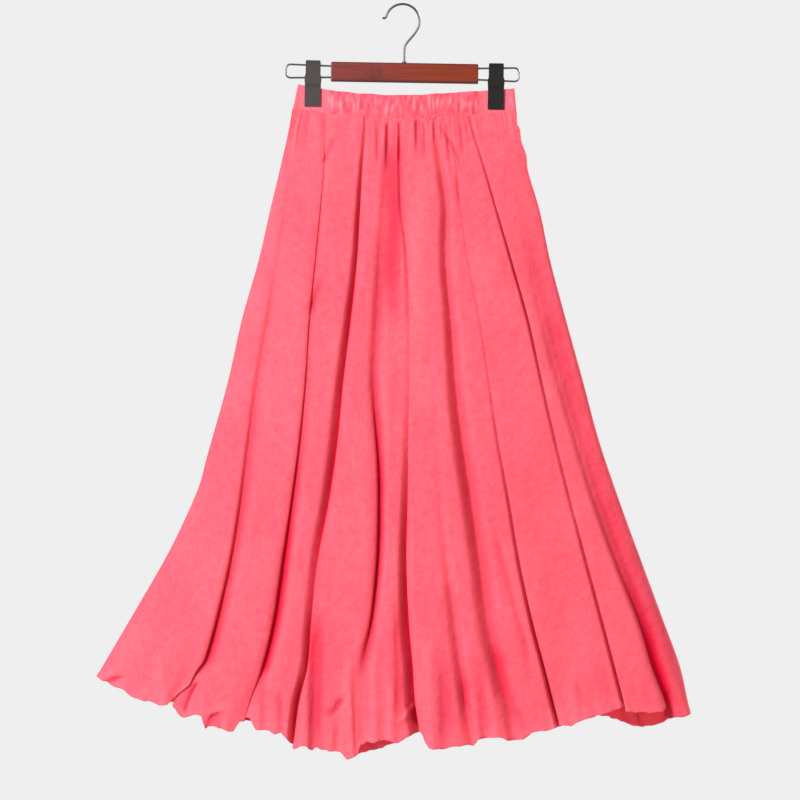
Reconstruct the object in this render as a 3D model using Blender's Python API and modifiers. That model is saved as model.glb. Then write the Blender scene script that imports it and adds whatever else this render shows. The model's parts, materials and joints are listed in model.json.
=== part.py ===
"""Gathered maxi skirt clipped by its waist to a wooden skirt hanger.

The origin is the seat of the hanger's hook: the top of the hook's inner curve, where it lies on
the rod or wall hook that holds it. +Z is up, and the skirt's front faces -Y. All sizes are metres.
"""
import math
from collections import namedtuple

import bmesh
import bpy
from mathutils import Matrix, Vector

SEAM_GAP = 0.0003
FIT_GAP = 0.0003
WAIST_SEAM_GAP = 0.0005

# --- Skirt: cloth -----------------------------------------------------------------------------
CLOTH_THICKNESS = 0.0012
BAND_THICKNESS = 0.0024
PANEL_ROWS = 13
BAND_ROWS = 2
SEAM_HALF_GAP = SEAM_GAP / 2
EDGE_TURN = 0.003

# Heights down a panel, as shares of the way from the waist seam to the hem.
LEVELS = (0.0, 0.15, 0.30, 0.45, 0.60, 0.75, 0.90, 1.0)

# The casing between the skirt's two sides: x, height of its top edge, height of the waist seam.
Waist = namedtuple("Waist", "x top seam")
WAIST = (
    Waist(-0.1520, -0.1095, -0.1467),
    Waist(-0.0890, -0.1201, -0.1545),
    Waist(-0.0050, -0.1257, -0.1600),
    Waist(0.0790, -0.1215, -0.1555),
    Waist(0.1570, -0.1159, -0.1495),
)
BAND_TOP_X = (-0.1477, 0.1553)
BAND_SEAM_X = (-0.1550, 0.1580)

# How far the middle of the casing's wall stands from the plane of the hanger. The clips pinch it.
WaistDepth = namedtuple("WaistDepth", "x depth")
WAIST_DEPTH = (
    WaistDepth(-0.1550, 0.0032),
    WaistDepth(-0.1490, 0.0026),
    WaistDepth(-0.1455, 0.0017),
    WaistDepth(-0.1080, 0.0017),
    WaistDepth(-0.0920, 0.0042),
    WaistDepth(-0.0500, 0.0082),
    WaistDepth(0.0000, 0.0094),
    WaistDepth(0.0500, 0.0082),
    WaistDepth(0.0950, 0.0042),
    WaistDepth(0.1125, 0.0017),
    WaistDepth(0.1475, 0.0017),
    WaistDepth(0.1510, 0.0026),
    WaistDepth(0.1580, 0.0032),
)

# Ruffles of the casing: place along the waist and width of each ridge.
RUFFLE_PITCH = 0.0105
RUFFLE_DEPTH = 0.0013
RUFFLE_SHIFTS = (0.0, 0.21, -0.16, 0.12, -0.22, 0.05, 0.18, -0.10)
CLIP_ZONES = ((-0.1455, -0.1080), (0.1125, 0.1475))
CLIP_ZONE_FADE = 0.012

# Outline of the skirt laid between its side seams, and the lift of each panel off the middle plane.
LEFT_SIDE = (-0.155, -0.181, -0.210, -0.240, -0.272, -0.317, -0.382, -0.429)
RIGHT_SIDE = (0.158, 0.187, 0.217, 0.251, 0.288, 0.333, 0.379, 0.401)
LEFT_HEM = -0.939
RIGHT_HEM = -0.990
LEFT_HEM_MIDDLE = -0.972
FRONT_LIFT = (0.009, 0.017, 0.026, 0.034, 0.041, 0.048, 0.054, 0.058)
BACK_LIFT = (0.009, 0.016, 0.023, 0.029, 0.035, 0.041, 0.046, 0.049)
LIFT_BLEND = 0.10
SIDE_ROUNDING = 3.0

# A fold is a line down the cloth where it turns back. x is the visible edge at each level, depth is
# how far the cloth goes in behind it. left_flank and right_flank are the widths over which the cloth
# comes out again, at the waist, half way and the hem. over is the panel that lies on top: -1 left,
# 1 right, 0 neither. hem is the hem's height at the fold, and hem_right half way to the next fold.
Fold = namedtuple("Fold", "name x depth left_flank right_flank over hem hem_right")
FRONT_FOLDS = (
    Fold("f1", (-0.149, -0.162, -0.182, -0.204, -0.221, -0.243, -0.276, -0.309),
         (0.0004, 0.003, 0.006, 0.008, 0.012, 0.016, 0.020, 0.016),
         (0.002, 0.005, 0.006), (0.004, 0.018, 0.035), -1, -0.994, -1.012),
    Fold("f2", (-0.108, -0.116, -0.129, -0.138, -0.153, -0.171, -0.194, -0.223),
         (0.0004, 0.008, 0.010, 0.014, 0.018, 0.021, 0.022, 0.016),
         (0.004, 0.005, 0.014), (0.006, 0.018, 0.024), -1, -0.992, -1.014),
    Fold("f3", (-0.055, -0.063, -0.074, -0.089, -0.105, -0.126, -0.141, -0.156),
         (0.0005, 0.012, 0.017, 0.022, 0.022, 0.018, 0.024, 0.028),
         (0.006, 0.022, 0.026), (0.005, 0.009, 0.010), 1, -1.032, -1.043),
    Fold("f4", (-0.019, -0.027, -0.035, -0.039, -0.036, -0.041, -0.055, -0.060),
         (0.0005, 0.009, 0.014, 0.020, 0.027, 0.028, 0.022, 0.020),
         (0.005, 0.009, 0.010), (0.005, 0.024, 0.012), -1, -1.026, -1.022),
    Fold("f5", (-0.005, -0.003, 0.005, 0.004, -0.001, 0.003, 0.011, 0.022),
         (0.0005, 0.006, 0.005, 0.005, 0.012, 0.022, 0.028, 0.030),
         (0.004, 0.010, 0.044), (0.005, 0.006, 0.006), 1, -1.019, -1.040),
    Fold("f5_low", (0.020, 0.029, 0.034, 0.036, 0.038, 0.044, 0.066, 0.086),
         (0.0002, 0.000, 0.000, 0.000, 0.002, 0.006, 0.011, 0.012),
         (0.004, 0.012, 0.024), (0.003, 0.010, 0.010), 0, -1.040, -1.037),
    Fold("f6", (0.041, 0.054, 0.060, 0.069, 0.087, 0.104, 0.130, 0.149),
         (0.0005, 0.007, 0.010, 0.013, 0.015, 0.014, 0.010, 0.008),
         (0.006, 0.022, 0.020), (0.005, 0.018, 0.020), 0, -1.026, -1.014),
    Fold("f7", (0.065, 0.079, 0.100, 0.120, 0.141, 0.164, 0.195, 0.216),
         (0.0004, 0.004, 0.006, 0.008, 0.012, 0.017, 0.022, 0.026),
         (0.004, 0.010, 0.016), (0.003, 0.005, 0.006), 1, -1.006, -0.997),
    Fold("f8", (0.093, 0.127, 0.163, 0.194, 0.224, 0.257, 0.290, 0.314),
         (0.0004, 0.009, 0.015, 0.014, 0.015, 0.019, 0.021, 0.024),
         (0.004, 0.010, 0.012), (0.003, 0.005, 0.006), 1, -0.990, -0.981),
    Fold("f9", (0.135, 0.159, 0.186, 0.217, 0.255, 0.299, 0.343, 0.370),
         (0.0003, 0.002, 0.006, 0.010, 0.014, 0.020, 0.026, 0.024),
         (0.003, 0.005, 0.006), (0.006, 0.028, 0.026), -1, -0.980, -0.988),
)
BACK_FOLDS = (
    Fold("b1", (-0.128, -0.146, -0.166, -0.188, -0.214, -0.247, -0.290, -0.322),
         (0.0004, 0.004, 0.007, 0.010, 0.013, 0.017, 0.020, 0.018),
         (0.003, 0.014, 0.028), (0.003, 0.006, 0.008), 1, -0.984, -0.996),
    Fold("b2", (-0.084, -0.096, -0.112, -0.131, -0.152, -0.178, -0.206, -0.230),
         (0.0004, 0.008, 0.012, 0.015, 0.018, 0.020, 0.021, 0.020),
         (0.004, 0.006, 0.008), (0.005, 0.018, 0.026), -1, -0.996, -1.012),
    Fold("b3", (-0.046, -0.052, -0.062, -0.075, -0.088, -0.106, -0.122, -0.132),
         (0.0005, 0.009, 0.013, 0.017, 0.020, 0.022, 0.022, 0.022),
         (0.005, 0.018, 0.026), (0.004, 0.007, 0.008), 1, -1.034, -1.045),
    Fold("b4", (-0.014, -0.016, -0.021, -0.028, -0.033, -0.038, -0.040, -0.044),
         (0.0005, 0.008, 0.011, 0.015, 0.018, 0.022, 0.024, 0.024),
         (0.005, 0.018, 0.022), (0.005, 0.016, 0.020), 0, -1.044, -1.022),
    Fold("b5", (0.024, 0.030, 0.036, 0.040, 0.044, 0.050, 0.060, 0.068),
         (0.0005, 0.009, 0.013, 0.015, 0.017, 0.020, 0.022, 0.024),
         (0.004, 0.007, 0.008), (0.005, 0.018, 0.028), -1, -1.028, -1.018),
    Fold("b6", (0.060, 0.072, 0.086, 0.102, 0.118, 0.134, 0.152, 0.164),
         (0.0004, 0.007, 0.010, 0.013, 0.016, 0.018, 0.022, 0.022),
         (0.005, 0.016, 0.022), (0.004, 0.007, 0.008), 1, -1.018, -1.006),
    Fold("b7", (0.096, 0.114, 0.138, 0.162, 0.186, 0.212, 0.236, 0.254),
         (0.0004, 0.006, 0.009, 0.012, 0.014, 0.017, 0.019, 0.020),
         (0.004, 0.006, 0.008), (0.004, 0.016, 0.024), -1, -0.994, -0.996),
    Fold("b8", (0.130, 0.152, 0.178, 0.208, 0.240, 0.276, 0.312, 0.334),
         (0.0003, 0.003, 0.006, 0.009, 0.012, 0.016, 0.018, 0.018),
         (0.003, 0.014, 0.024), (0.003, 0.006, 0.008), 1, -1.006, -1.001),
)
LEAN_SHARE = 0.28
STEEP_SAMPLES = (0.35, 0.70, 1.0)
GENTLE_SAMPLES = (0.50, 1.0)
SIDE_SAMPLES = (0.07, 0.25, 0.60)
FLANK_ROOM = 0.92

# --- Hanger -----------------------------------------------------------------------------------
# The hanger is drawn upright about the hook's seat, and then hangs tilted, its right side lower.
HANGER_TILT_DEG = 0.95
HOOK_WIRE_RADIUS = 0.0016
HOOK_ARC_RADIUS = 0.0238
HOOK_ARC_CENTRE_X = -0.0010
HOOK_ARC_START_DEG = 168.0
HOOK_ARC_END_DEG = -22.0
HOOK_ARC_STEPS = 26
HOOK_BEND_STEPS = 9
HOOK_STEM_X = 0.0025
HOOK_STEM_TOP = -0.0600
HOOK_TIP_FLICK = 0.0048

BAR_CENTRE_X = 0.0032
BAR_LENGTH = 0.2065
BAR_HEIGHT = 0.0275
BAR_THICKNESS = 0.012
BAR_TOP = -0.0810
BAR_MIDDLE = BAR_TOP - BAR_HEIGHT / 2
BAR_BEVEL = 0.0016
STEM_DEPTH_IN_BAR = 0.012

COLLAR_RADIUS = 0.0032
COLLAR_HEIGHT = 0.0018

LOOP_WIRE_RADIUS = 0.0013
LOOP_HALF_AT_BAR = 0.0079
LOOP_HALF_AT_END = 0.0094
LOOP_CORNER = 0.0060
LOOP_CORNER_STEPS = 5
LOOP_LEFT_REACH = 0.1660
LOOP_RIGHT_REACH = 0.1600
LOOP_DEPTH_IN_BAR = 0.025

CLIP_OFFSET = 0.1282
CLIP_TOP = BAR_TOP + 0.0014
CLIP_HEIGHT = 0.0644
CLIP_PLATE = 0.0022
CLIP_JAW_GAP = BAND_THICKNESS / 2 + WAIST_DEPTH[3].depth + FIT_GAP
CLIP_CORE_WIDTH = 0.0160
CLIP_CORE_HEIGHT = 0.0240
CLIP_CORE_THICKNESS = 0.0080
CLIP_HANDLE_GAP = CLIP_CORE_THICKNESS / 2 + FIT_GAP

# A clip plate from its top down: share of its height, its half width and its bulge off the jaw line.
ClipStation = namedtuple("ClipStation", "share half_width gap")
CLIP_STATIONS = (
    ClipStation(0.00, 0.0098, CLIP_HANDLE_GAP + 0.0008),
    ClipStation(0.03, 0.0104, CLIP_HANDLE_GAP + 0.0005),
    ClipStation(0.10, 0.0104, CLIP_HANDLE_GAP),
    ClipStation(0.30, 0.0104, CLIP_HANDLE_GAP),
    ClipStation(0.35, 0.0117, CLIP_HANDLE_GAP),
    ClipStation(0.43, 0.0117, CLIP_HANDLE_GAP),
    ClipStation(0.50, 0.0112, CLIP_HANDLE_GAP),
    ClipStation(0.58, 0.0112, CLIP_JAW_GAP),
    ClipStation(1.00, 0.0112, CLIP_JAW_GAP),
)
CLIP_COLUMNS = 4

# --- Colours: red, green, blue, roughness, metallic --------------------------------------------
Finish = namedtuple("Finish", "colour roughness metallic")
FINISHES = {
    "coral_cloth": Finish((0.93, 0.17, 0.21), 0.90, 0.0),
    "coral_casing": Finish((0.95, 0.20, 0.24), 0.90, 0.0),
    "mahogany": Finish((0.13, 0.035, 0.022), 0.40, 0.0),
    "hook_metal": Finish((0.20, 0.19, 0.19), 0.28, 1.0),
    "loop_metal": Finish((0.55, 0.54, 0.53), 0.25, 1.0),
    "collar_metal": Finish((0.35, 0.33, 0.32), 0.30, 1.0),
    "black_plastic": Finish((0.022, 0.020, 0.020), 0.45, 0.0),
    "black_core": Finish((0.015, 0.015, 0.015), 0.60, 0.0),
}


# --- Small helpers ----------------------------------------------------------------------------
def clear_scene():
    """Remove everything that an opened file may hold."""
    for old in list(bpy.data.objects):
        bpy.data.objects.remove(old, do_unlink=True)
    for old in list(bpy.data.collections):
        bpy.data.collections.remove(old)


def new_collection(name):
    """Add a collection to the scene."""
    collection = bpy.data.collections.new(name)
    bpy.context.scene.collection.children.link(collection)
    return collection


def make_material(name):
    """Make a Principled material from its row in FINISHES."""
    finish = FINISHES[name]
    material = bpy.data.materials.new(name)
    material.use_nodes = True
    shader = material.node_tree.nodes["Principled BSDF"]
    shader.inputs["Base Color"].default_value = (*finish.colour, 1.0)
    shader.inputs["Roughness"].default_value = finish.roughness
    shader.inputs["Metallic"].default_value = finish.metallic
    material.diffuse_color = (*finish.colour, 1.0)
    return material


def place_in(collection, obj, material_name=None):
    """Put an object in one collection only, and give it its material."""
    for holder in list(obj.users_collection):
        holder.objects.unlink(obj)
    collection.objects.link(obj)
    if material_name:
        obj.data.materials.clear()
        obj.data.materials.append(make_material(material_name))
    return obj


def mix(low, high, share):
    """Go from low to high by a share."""
    return low + (high - low) * share


def smooth_step(value):
    """Ease a share from 0 to 1."""
    clamped = min(1.0, max(0.0, value))
    return clamped * clamped * (3.0 - 2.0 * clamped)


def along(places, values, place):
    """Read a row of values at a place between its named places."""
    if place <= places[0]:
        return values[0]
    for index in range(1, len(places)):
        if place <= places[index]:
            share = (place - places[index - 1]) / (places[index] - places[index - 1])
            return mix(values[index - 1], values[index], share)
    return values[-1]


def curved_along(places, values, place):
    """Read a row of values at a place, on a smooth curve through them."""
    last = len(places) - 1
    place = min(places[last], max(places[0], place))
    index = 0
    while index < last - 1 and place > places[index + 1]:
        index += 1

    def slope(at):
        low = max(at - 1, 0)
        high = min(at + 1, last)
        return (values[high] - values[low]) / (places[high] - places[low])

    span = places[index + 1] - places[index]
    t = (place - places[index]) / span
    start = values[index] * (2 * t ** 3 - 3 * t ** 2 + 1)
    end = values[index + 1] * (3 * t ** 2 - 2 * t ** 3)
    bend = slope(index) * (t ** 3 - 2 * t ** 2 + t) + slope(index + 1) * (t ** 3 - t ** 2)
    return start + end + bend * span


def bezier(points, t):
    """Read a cubic curve through four control values."""
    s = 1.0 - t
    first, second, third, fourth = points
    return first * s ** 3 + 3 * second * s * s * t + 3 * third * s * t * t + fourth * t ** 3


# --- Waist ------------------------------------------------------------------------------------
WAIST_X = tuple(row.x for row in WAIST)
WAIST_TOPS = tuple(row.top for row in WAIST)
WAIST_SEAMS = tuple(row.seam for row in WAIST)
DEPTH_X = tuple(row.x for row in WAIST_DEPTH)
DEPTHS = tuple(row.depth for row in WAIST_DEPTH)


def seam_height(x):
    """Height of the waist seam at x."""
    return curved_along(WAIST_X, WAIST_SEAMS, x)


def waist_depth(x):
    """Distance of the casing's wall from the plane of the hanger at x."""
    return along(DEPTH_X, DEPTHS, x)


def clip_fade(x):
    """Fall to 0 where a clip presses the casing flat."""
    fade = 1.0
    for low, high in CLIP_ZONES:
        outside = max(low - x, x - high, 0.0)
        fade = min(fade, smooth_step(outside / CLIP_ZONE_FADE))
    return fade


def ruffle(index, x):
    """Depth of one column of the casing's ruffles: ridges and troughs by turns."""
    side = 1.0 if index % 2 else -1.0
    strength = 0.75 + 0.25 * math.sin(index * 1.7)
    return side * RUFFLE_DEPTH * strength * clip_fade(x)


# --- Folds ------------------------------------------------------------------------------------
def width_at(widths, level):
    """Width of a flank at a level, from its widths at the waist, half way and the hem."""
    return along((0.0, 0.5, 1.0), widths, level)


def fold_depth(fold, level):
    """How far a fold goes in at a level."""
    return curved_along(LEVELS, fold.depth, level)


def fold_line(fold, level):
    """Where a fold's edge shows at a level."""
    return curved_along(LEVELS, fold.x, level)


def side_line(sides, level):
    """Where a side seam runs at a level."""
    return curved_along(LEVELS, sides, level)


def flank_scales(folds, level):
    """Scale that keeps the two flanks in each gap between folds within the gap's width."""
    edges = [side_line(LEFT_SIDE, level)]
    edges += [fold_line(fold, level) for fold in folds]
    edges.append(side_line(RIGHT_SIDE, level))
    scales = []
    for index in range(len(folds) + 1):
        used = 0.0
        if index > 0:
            used += width_at(folds[index - 1].right_flank, level)
        if index < len(folds):
            used += width_at(folds[index].left_flank, level)
        room = (edges[index + 1] - edges[index]) * FLANK_ROOM
        scales.append(min(1.0, room / used))
    return scales


def flank_point(fold, level, side, t, scale):
    """Offset x and depth of a flank, from the valley at t = 0 to the cloth's face at t = 1."""
    depth = fold_depth(fold, level)
    widths = fold.left_flank if side < 0 else fold.right_flank
    width = width_at(widths, level) * scale
    lean = LEAN_SHARE * depth * fold.over
    if fold.over == side:
        edge = (lean, side * -0.25 * width, side * -0.10 * width, side * width)
        sink = (depth, 0.55 * depth, 0.0, 0.0)
    else:
        edge = (lean, mix(lean, side * width, 0.22), side * 0.55 * width, side * width)
        sink = (depth, 0.52 * depth, 0.0, 0.0)
    return bezier(edge, t), bezier(sink, t)


# --- Cloth panels -----------------------------------------------------------------------------
Column = namedtuple("Column", "kind index side share")


def panel_columns(folds):
    """List a panel's columns from its left side seam to its right one."""
    columns = [Column("side", 0, -1, 0.0), Column("side", 0, -1, 1.0)]
    columns += [Column("face", 0, 0, share) for share in SIDE_SAMPLES]
    for index, fold in enumerate(folds):
        left = STEEP_SAMPLES if fold.over == -1 else GENTLE_SAMPLES
        right = STEEP_SAMPLES if fold.over == 1 else GENTLE_SAMPLES
        columns += [Column("flank", index, -1, share) for share in reversed(left)]
        columns.append(Column("flank", index, -1, 0.0))
        columns += [Column("flank", index, 1, share) for share in right]
        if index < len(folds) - 1:
            columns.append(Column("face", index + 1, 0, 0.5))
    columns += [Column("face", len(folds), 0, 1.0 - share) for share in reversed(SIDE_SAMPLES)]
    columns += [Column("side", 1, 1, 1.0), Column("side", 1, 1, 0.0)]
    return columns


def hem_height(folds, column):
    """Height of the hem under a column."""
    count = len(folds)
    if column.kind == "side":
        return LEFT_HEM if column.side < 0 else RIGHT_HEM
    if column.kind == "face":
        if column.index == 0:
            return mix(LEFT_HEM, folds[0].hem, column.share)
        if column.index == count:
            return mix(folds[-1].hem_right, RIGHT_HEM, column.share)
        return folds[column.index - 1].hem_right
    fold = folds[column.index]
    if column.side < 0:
        beyond = folds[column.index - 1].hem_right if column.index else LEFT_HEM_MIDDLE
    else:
        beyond = fold.hem_right
    return mix(fold.hem, beyond, 0.45 * column.share)


def column_place(folds, column, level, scales):
    """x and inward depth of a column at a level, before the panel is lifted off the plane."""
    left = side_line(LEFT_SIDE, level)
    right = side_line(RIGHT_SIDE, level)
    if column.kind == "side":
        return (left if column.side < 0 else right), 0.0
    if column.kind == "face":
        start = left
        if column.index > 0:
            before = folds[column.index - 1]
            start = fold_line(before, level)
            start += width_at(before.right_flank, level) * scales[column.index]
        end = right
        if column.index < len(folds):
            after = folds[column.index]
            end = fold_line(after, level)
            end -= width_at(after.left_flank, level) * scales[column.index]
        return mix(start, end, column.share), 0.0
    fold = folds[column.index]
    scale = scales[column.index + (1 if column.side > 0 else 0)]
    offset, depth = flank_point(fold, level, column.side, column.share, scale)
    return fold_line(fold, level) + offset, depth


def lift_at(lifts, x, level):
    """How far a panel's face stands off the middle plane at x."""
    left = side_line(LEFT_SIDE, level)
    right = side_line(RIGHT_SIDE, level)
    across = abs((x - (left + right) / 2) / ((right - left) / 2))
    rounded = max(0.0, 1.0 - min(1.0, across) ** SIDE_ROUNDING) ** (1.0 / SIDE_ROUNDING)
    full = curved_along(LEVELS, lifts, level) * rounded
    seam = waist_depth(x)
    return mix(seam, max(full, EDGE_TURN), smooth_step(level / LIFT_BLEND))


def panel_point(folds, lifts, face, column, level, scales):
    """A point of the cloth's middle surface. face is -1 on the front panel and 1 on the back."""
    x, depth = column_place(folds, column, level, scales)
    if column.kind == "side" and column.share == 0.0:
        away = SEAM_HALF_GAP
    else:
        away = lift_at(lifts, x, level) - depth
    top_x = column_place(folds, column, 0.0, scales)[0]
    top = seam_height(top_x) - WAIST_SEAM_GAP
    height = mix(top, hem_height(folds, column), level)
    return Vector((x, face * away, height))


def grid_surface(name, columns, rows, point):
    """Make an open surface of columns by rows, each corner placed by point(column, row)."""
    mesh = bpy.data.meshes.new(name)
    work = bmesh.new()
    bmesh.ops.create_grid(work, x_segments=columns - 1, y_segments=rows - 1, size=1.0)
    for vertex in work.verts:
        column = round((vertex.co.x + 1.0) / 2.0 * (columns - 1))
        row = round((1.0 - vertex.co.y) / 2.0 * (rows - 1))
        vertex.co = point(column, row)
    work.to_mesh(mesh)
    work.free()
    return bpy.data.objects.new(name, mesh)


def give_wall(obj, thickness):
    """Turn an open surface into a wall, half on each side of it."""
    solidify = obj.modifiers.new("wall", "SOLIDIFY")
    solidify.thickness = thickness
    solidify.offset = 0.0
    solidify.use_rim = True
    obj.data.shade_smooth()


def make_panel(collection, name, folds, lifts, face):
    """Make the front or back panel of the skirt, with its folds and its uneven hem."""
    columns = panel_columns(folds)
    levels = [row / (PANEL_ROWS - 1) for row in range(PANEL_ROWS)]
    scales = [flank_scales(folds, level) for level in levels]

    def point(column, row):
        return panel_point(folds, lifts, face, columns[column], levels[row], scales[row])

    panel = grid_surface(name, len(columns), PANEL_ROWS, point)
    give_wall(panel, CLOTH_THICKNESS)
    return place_in(collection, panel, "coral_cloth")


def band_stations():
    """Places along the casing, as shares from its left end to its right, closer at the ends."""
    count = round((BAND_SEAM_X[1] - BAND_SEAM_X[0]) / (RUFFLE_PITCH / 2))
    shares = []
    for index in range(1, count):
        shift = RUFFLE_SHIFTS[index % len(RUFFLE_SHIFTS)]
        shares.append((index + shift) / count)
    return [0.0, 0.0] + shares + [1.0, 1.0]


def make_band(collection, name, face):
    """Make one half of the elastic casing, ruffled, pinched by the clips and closed at its ends."""
    stations = band_stations()
    last = len(stations) - 1

    def point(column, row):
        share = stations[column]
        down = row / BAND_ROWS
        x = mix(mix(*BAND_TOP_X, share), mix(*BAND_SEAM_X, share), down)
        top = curved_along(WAIST_X, WAIST_TOPS, x)
        height = mix(top, seam_height(x), down)
        if column in (0, last):
            return Vector((x, face * SEAM_HALF_GAP, height))
        swell = math.sin(math.pi * down) if 0.0 < down < 1.0 else 0.35
        away = waist_depth(x) + ruffle(column, x) * swell
        return Vector((x, face * away, height))

    band = grid_surface(name, len(stations), BAND_ROWS + 1, point)
    give_wall(band, BAND_THICKNESS)
    return place_in(collection, band, "coral_casing")


# --- Hanger parts -----------------------------------------------------------------------------
def tube_object(name, points, radius):
    """Make a round wire along points, as a mesh with closed ends."""
    curve = bpy.data.curves.new(name, "CURVE")
    curve.dimensions = "3D"
    curve.bevel_depth = radius
    curve.bevel_resolution = 2
    curve.use_fill_caps = True
    spline = curve.splines.new("POLY")
    spline.points.add(len(points) - 1)
    for target, place in zip(spline.points, points):
        target.co = (place[0], place[1], place[2], 1.0)
    carrier = bpy.data.objects.new(name + "_route", curve)
    bpy.context.scene.collection.objects.link(carrier)
    bpy.context.view_layer.update()
    depsgraph = bpy.context.evaluated_depsgraph_get()
    mesh = bpy.data.meshes.new_from_object(carrier.evaluated_get(depsgraph))
    mesh.name = name
    work = bmesh.new()
    work.from_mesh(mesh)
    bmesh.ops.remove_doubles(work, verts=work.verts, dist=1e-6)
    bmesh.ops.recalc_face_normals(work, faces=work.faces)
    work.to_mesh(mesh)
    work.free()
    mesh.shade_smooth()
    tube = bpy.data.objects.new(name, mesh)
    bpy.data.objects.remove(carrier, do_unlink=True)
    return tube


def hook_points():
    """Points of the hook's wire: flicked tip, arc over the seat, bend back and stem."""
    centre_z = HOOK_WIRE_RADIUS - HOOK_ARC_RADIUS
    points = []
    for step in range(HOOK_ARC_STEPS + 1):
        angle = math.radians(mix(HOOK_ARC_START_DEG, HOOK_ARC_END_DEG, step / HOOK_ARC_STEPS))
        x = HOOK_ARC_CENTRE_X + HOOK_ARC_RADIUS * math.cos(angle)
        z = centre_z + HOOK_ARC_RADIUS * math.sin(angle)
        points.append((x, 0.0, z))
    tip = points[0]
    points.insert(0, (tip[0] - HOOK_TIP_FLICK * 0.5, 0.0, tip[2] - HOOK_TIP_FLICK * 0.35))
    points.insert(0, (tip[0] - HOOK_TIP_FLICK, 0.0, tip[2] - HOOK_TIP_FLICK * 0.15))
    end = points[-1]
    end_angle = math.radians(HOOK_ARC_END_DEG)
    reach = (end[2] - HOOK_STEM_TOP) * 0.62
    leave_x = end[0] + math.sin(end_angle) * reach
    leave_z = end[2] - math.cos(end_angle) * reach * 0.9
    for step in range(1, HOOK_BEND_STEPS + 1):
        t = step / HOOK_BEND_STEPS
        x = bezier((end[0], leave_x, HOOK_STEM_X, HOOK_STEM_X), t)
        z = bezier((end[2], leave_z, HOOK_STEM_TOP + reach * 0.45, HOOK_STEM_TOP), t)
        points.append((x, 0.0, z))
    points.append((HOOK_STEM_X, 0.0, BAR_TOP - STEM_DEPTH_IN_BAR))
    return points


def loop_half_height(side, x):
    """Half the distance between the two wires of one side's loop at x."""
    reach = LOOP_LEFT_REACH if side < 0 else LOOP_RIGHT_REACH
    spread_start = BAR_LENGTH / 2
    spread_end = reach - LOOP_CORNER
    share = (side * (x - BAR_CENTRE_X) - spread_start) / (spread_end - spread_start)
    return mix(LOOP_HALF_AT_BAR, LOOP_HALF_AT_END, min(1.0, max(0.0, share)))


def loop_points(side, reach):
    """Points of one wire loop, from its upper end in the bar round to its lower end."""
    inner = BAR_CENTRE_X + side * (BAR_LENGTH / 2 - LOOP_DEPTH_IN_BAR)
    mouth = BAR_CENTRE_X + side * BAR_LENGTH / 2
    outer = BAR_CENTRE_X + side * reach
    points = []
    points.append((inner, 0.0, BAR_MIDDLE + LOOP_HALF_AT_BAR))
    points.append((mouth, 0.0, BAR_MIDDLE + LOOP_HALF_AT_BAR))
    for corner in (1, -1):
        centre_x = outer - side * LOOP_CORNER
        centre_z = BAR_MIDDLE + corner * (LOOP_HALF_AT_END - LOOP_CORNER)
        for step in range(LOOP_CORNER_STEPS + 1):
            turn = step / LOOP_CORNER_STEPS
            angle = math.radians(90.0 * (1.0 - turn) if corner > 0 else -90.0 * turn)
            x = centre_x + side * LOOP_CORNER * math.cos(angle)
            z = centre_z + LOOP_CORNER * math.sin(angle)
            points.append((x, 0.0, z))
    points.append((mouth, 0.0, BAR_MIDDLE - LOOP_HALF_AT_BAR))
    points.append((inner, 0.0, BAR_MIDDLE - LOOP_HALF_AT_BAR))
    return points


def box_object(name, size, centre, bevel):
    """Make a box with softened edges."""
    bpy.ops.mesh.primitive_cube_add(size=1.0, location=centre)
    box = bpy.context.object
    box.name = name
    box.data.name = name
    box.data.transform(Matrix.Diagonal((*size, 1.0)))
    if bevel > 0.0:
        edge = box.modifiers.new("edges", "BEVEL")
        edge.width = bevel
        edge.segments = 2
    return box


def drill(collection, target, name, radius, start, end):
    """Cut a round hole from start to end."""
    start = Vector(start)
    end = Vector(end)
    middle = (start + end) / 2
    direction = end - start
    bpy.ops.mesh.primitive_cylinder_add(vertices=16, radius=radius, depth=direction.length,
                                        location=middle)
    cutter = bpy.context.object
    cutter.name = name
    cutter.rotation_euler = direction.to_track_quat("Z", "Y").to_euler()
    cutter.hide_render = True
    cutter.display_type = "WIRE"
    place_in(collection, cutter)
    cut = target.modifiers.new(name, "BOOLEAN")
    cut.operation = "DIFFERENCE"
    cut.object = cutter
    return cutter


def make_bar(collection, cutters):
    """Make the wooden bar, with holes for the hook's stem and the four wire ends."""
    size = (BAR_LENGTH, BAR_THICKNESS, BAR_HEIGHT)
    bar = box_object("hanger_bar", size, (BAR_CENTRE_X, 0.0, BAR_MIDDLE), BAR_BEVEL)
    place_in(collection, bar, "mahogany")
    made = []
    stem_end = BAR_TOP - STEM_DEPTH_IN_BAR - FIT_GAP
    made.append(drill(cutters, bar, "stem_hole", HOOK_WIRE_RADIUS + FIT_GAP,
                      (HOOK_STEM_X, 0.0, BAR_TOP + 0.004), (HOOK_STEM_X, 0.0, stem_end)))
    for side, label in ((-1, "left"), (1, "right")):
        for corner, height in ((1, "upper"), (-1, "lower")):
            level = BAR_MIDDLE + corner * LOOP_HALF_AT_BAR
            mouth = BAR_CENTRE_X + side * (BAR_LENGTH / 2 + 0.004)
            inner = BAR_CENTRE_X + side * (BAR_LENGTH / 2 - LOOP_DEPTH_IN_BAR - FIT_GAP)
            made.append(drill(cutters, bar, "wire_hole_%s_%s" % (label, height),
                              LOOP_WIRE_RADIUS + FIT_GAP, (mouth, 0.0, level), (inner, 0.0, level)))
    return [bar] + made


def make_hook(collection):
    """Make the hook and its stem."""
    hook = tube_object("hanger_hook", hook_points(), HOOK_WIRE_RADIUS)
    return place_in(collection, hook, "hook_metal")


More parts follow.
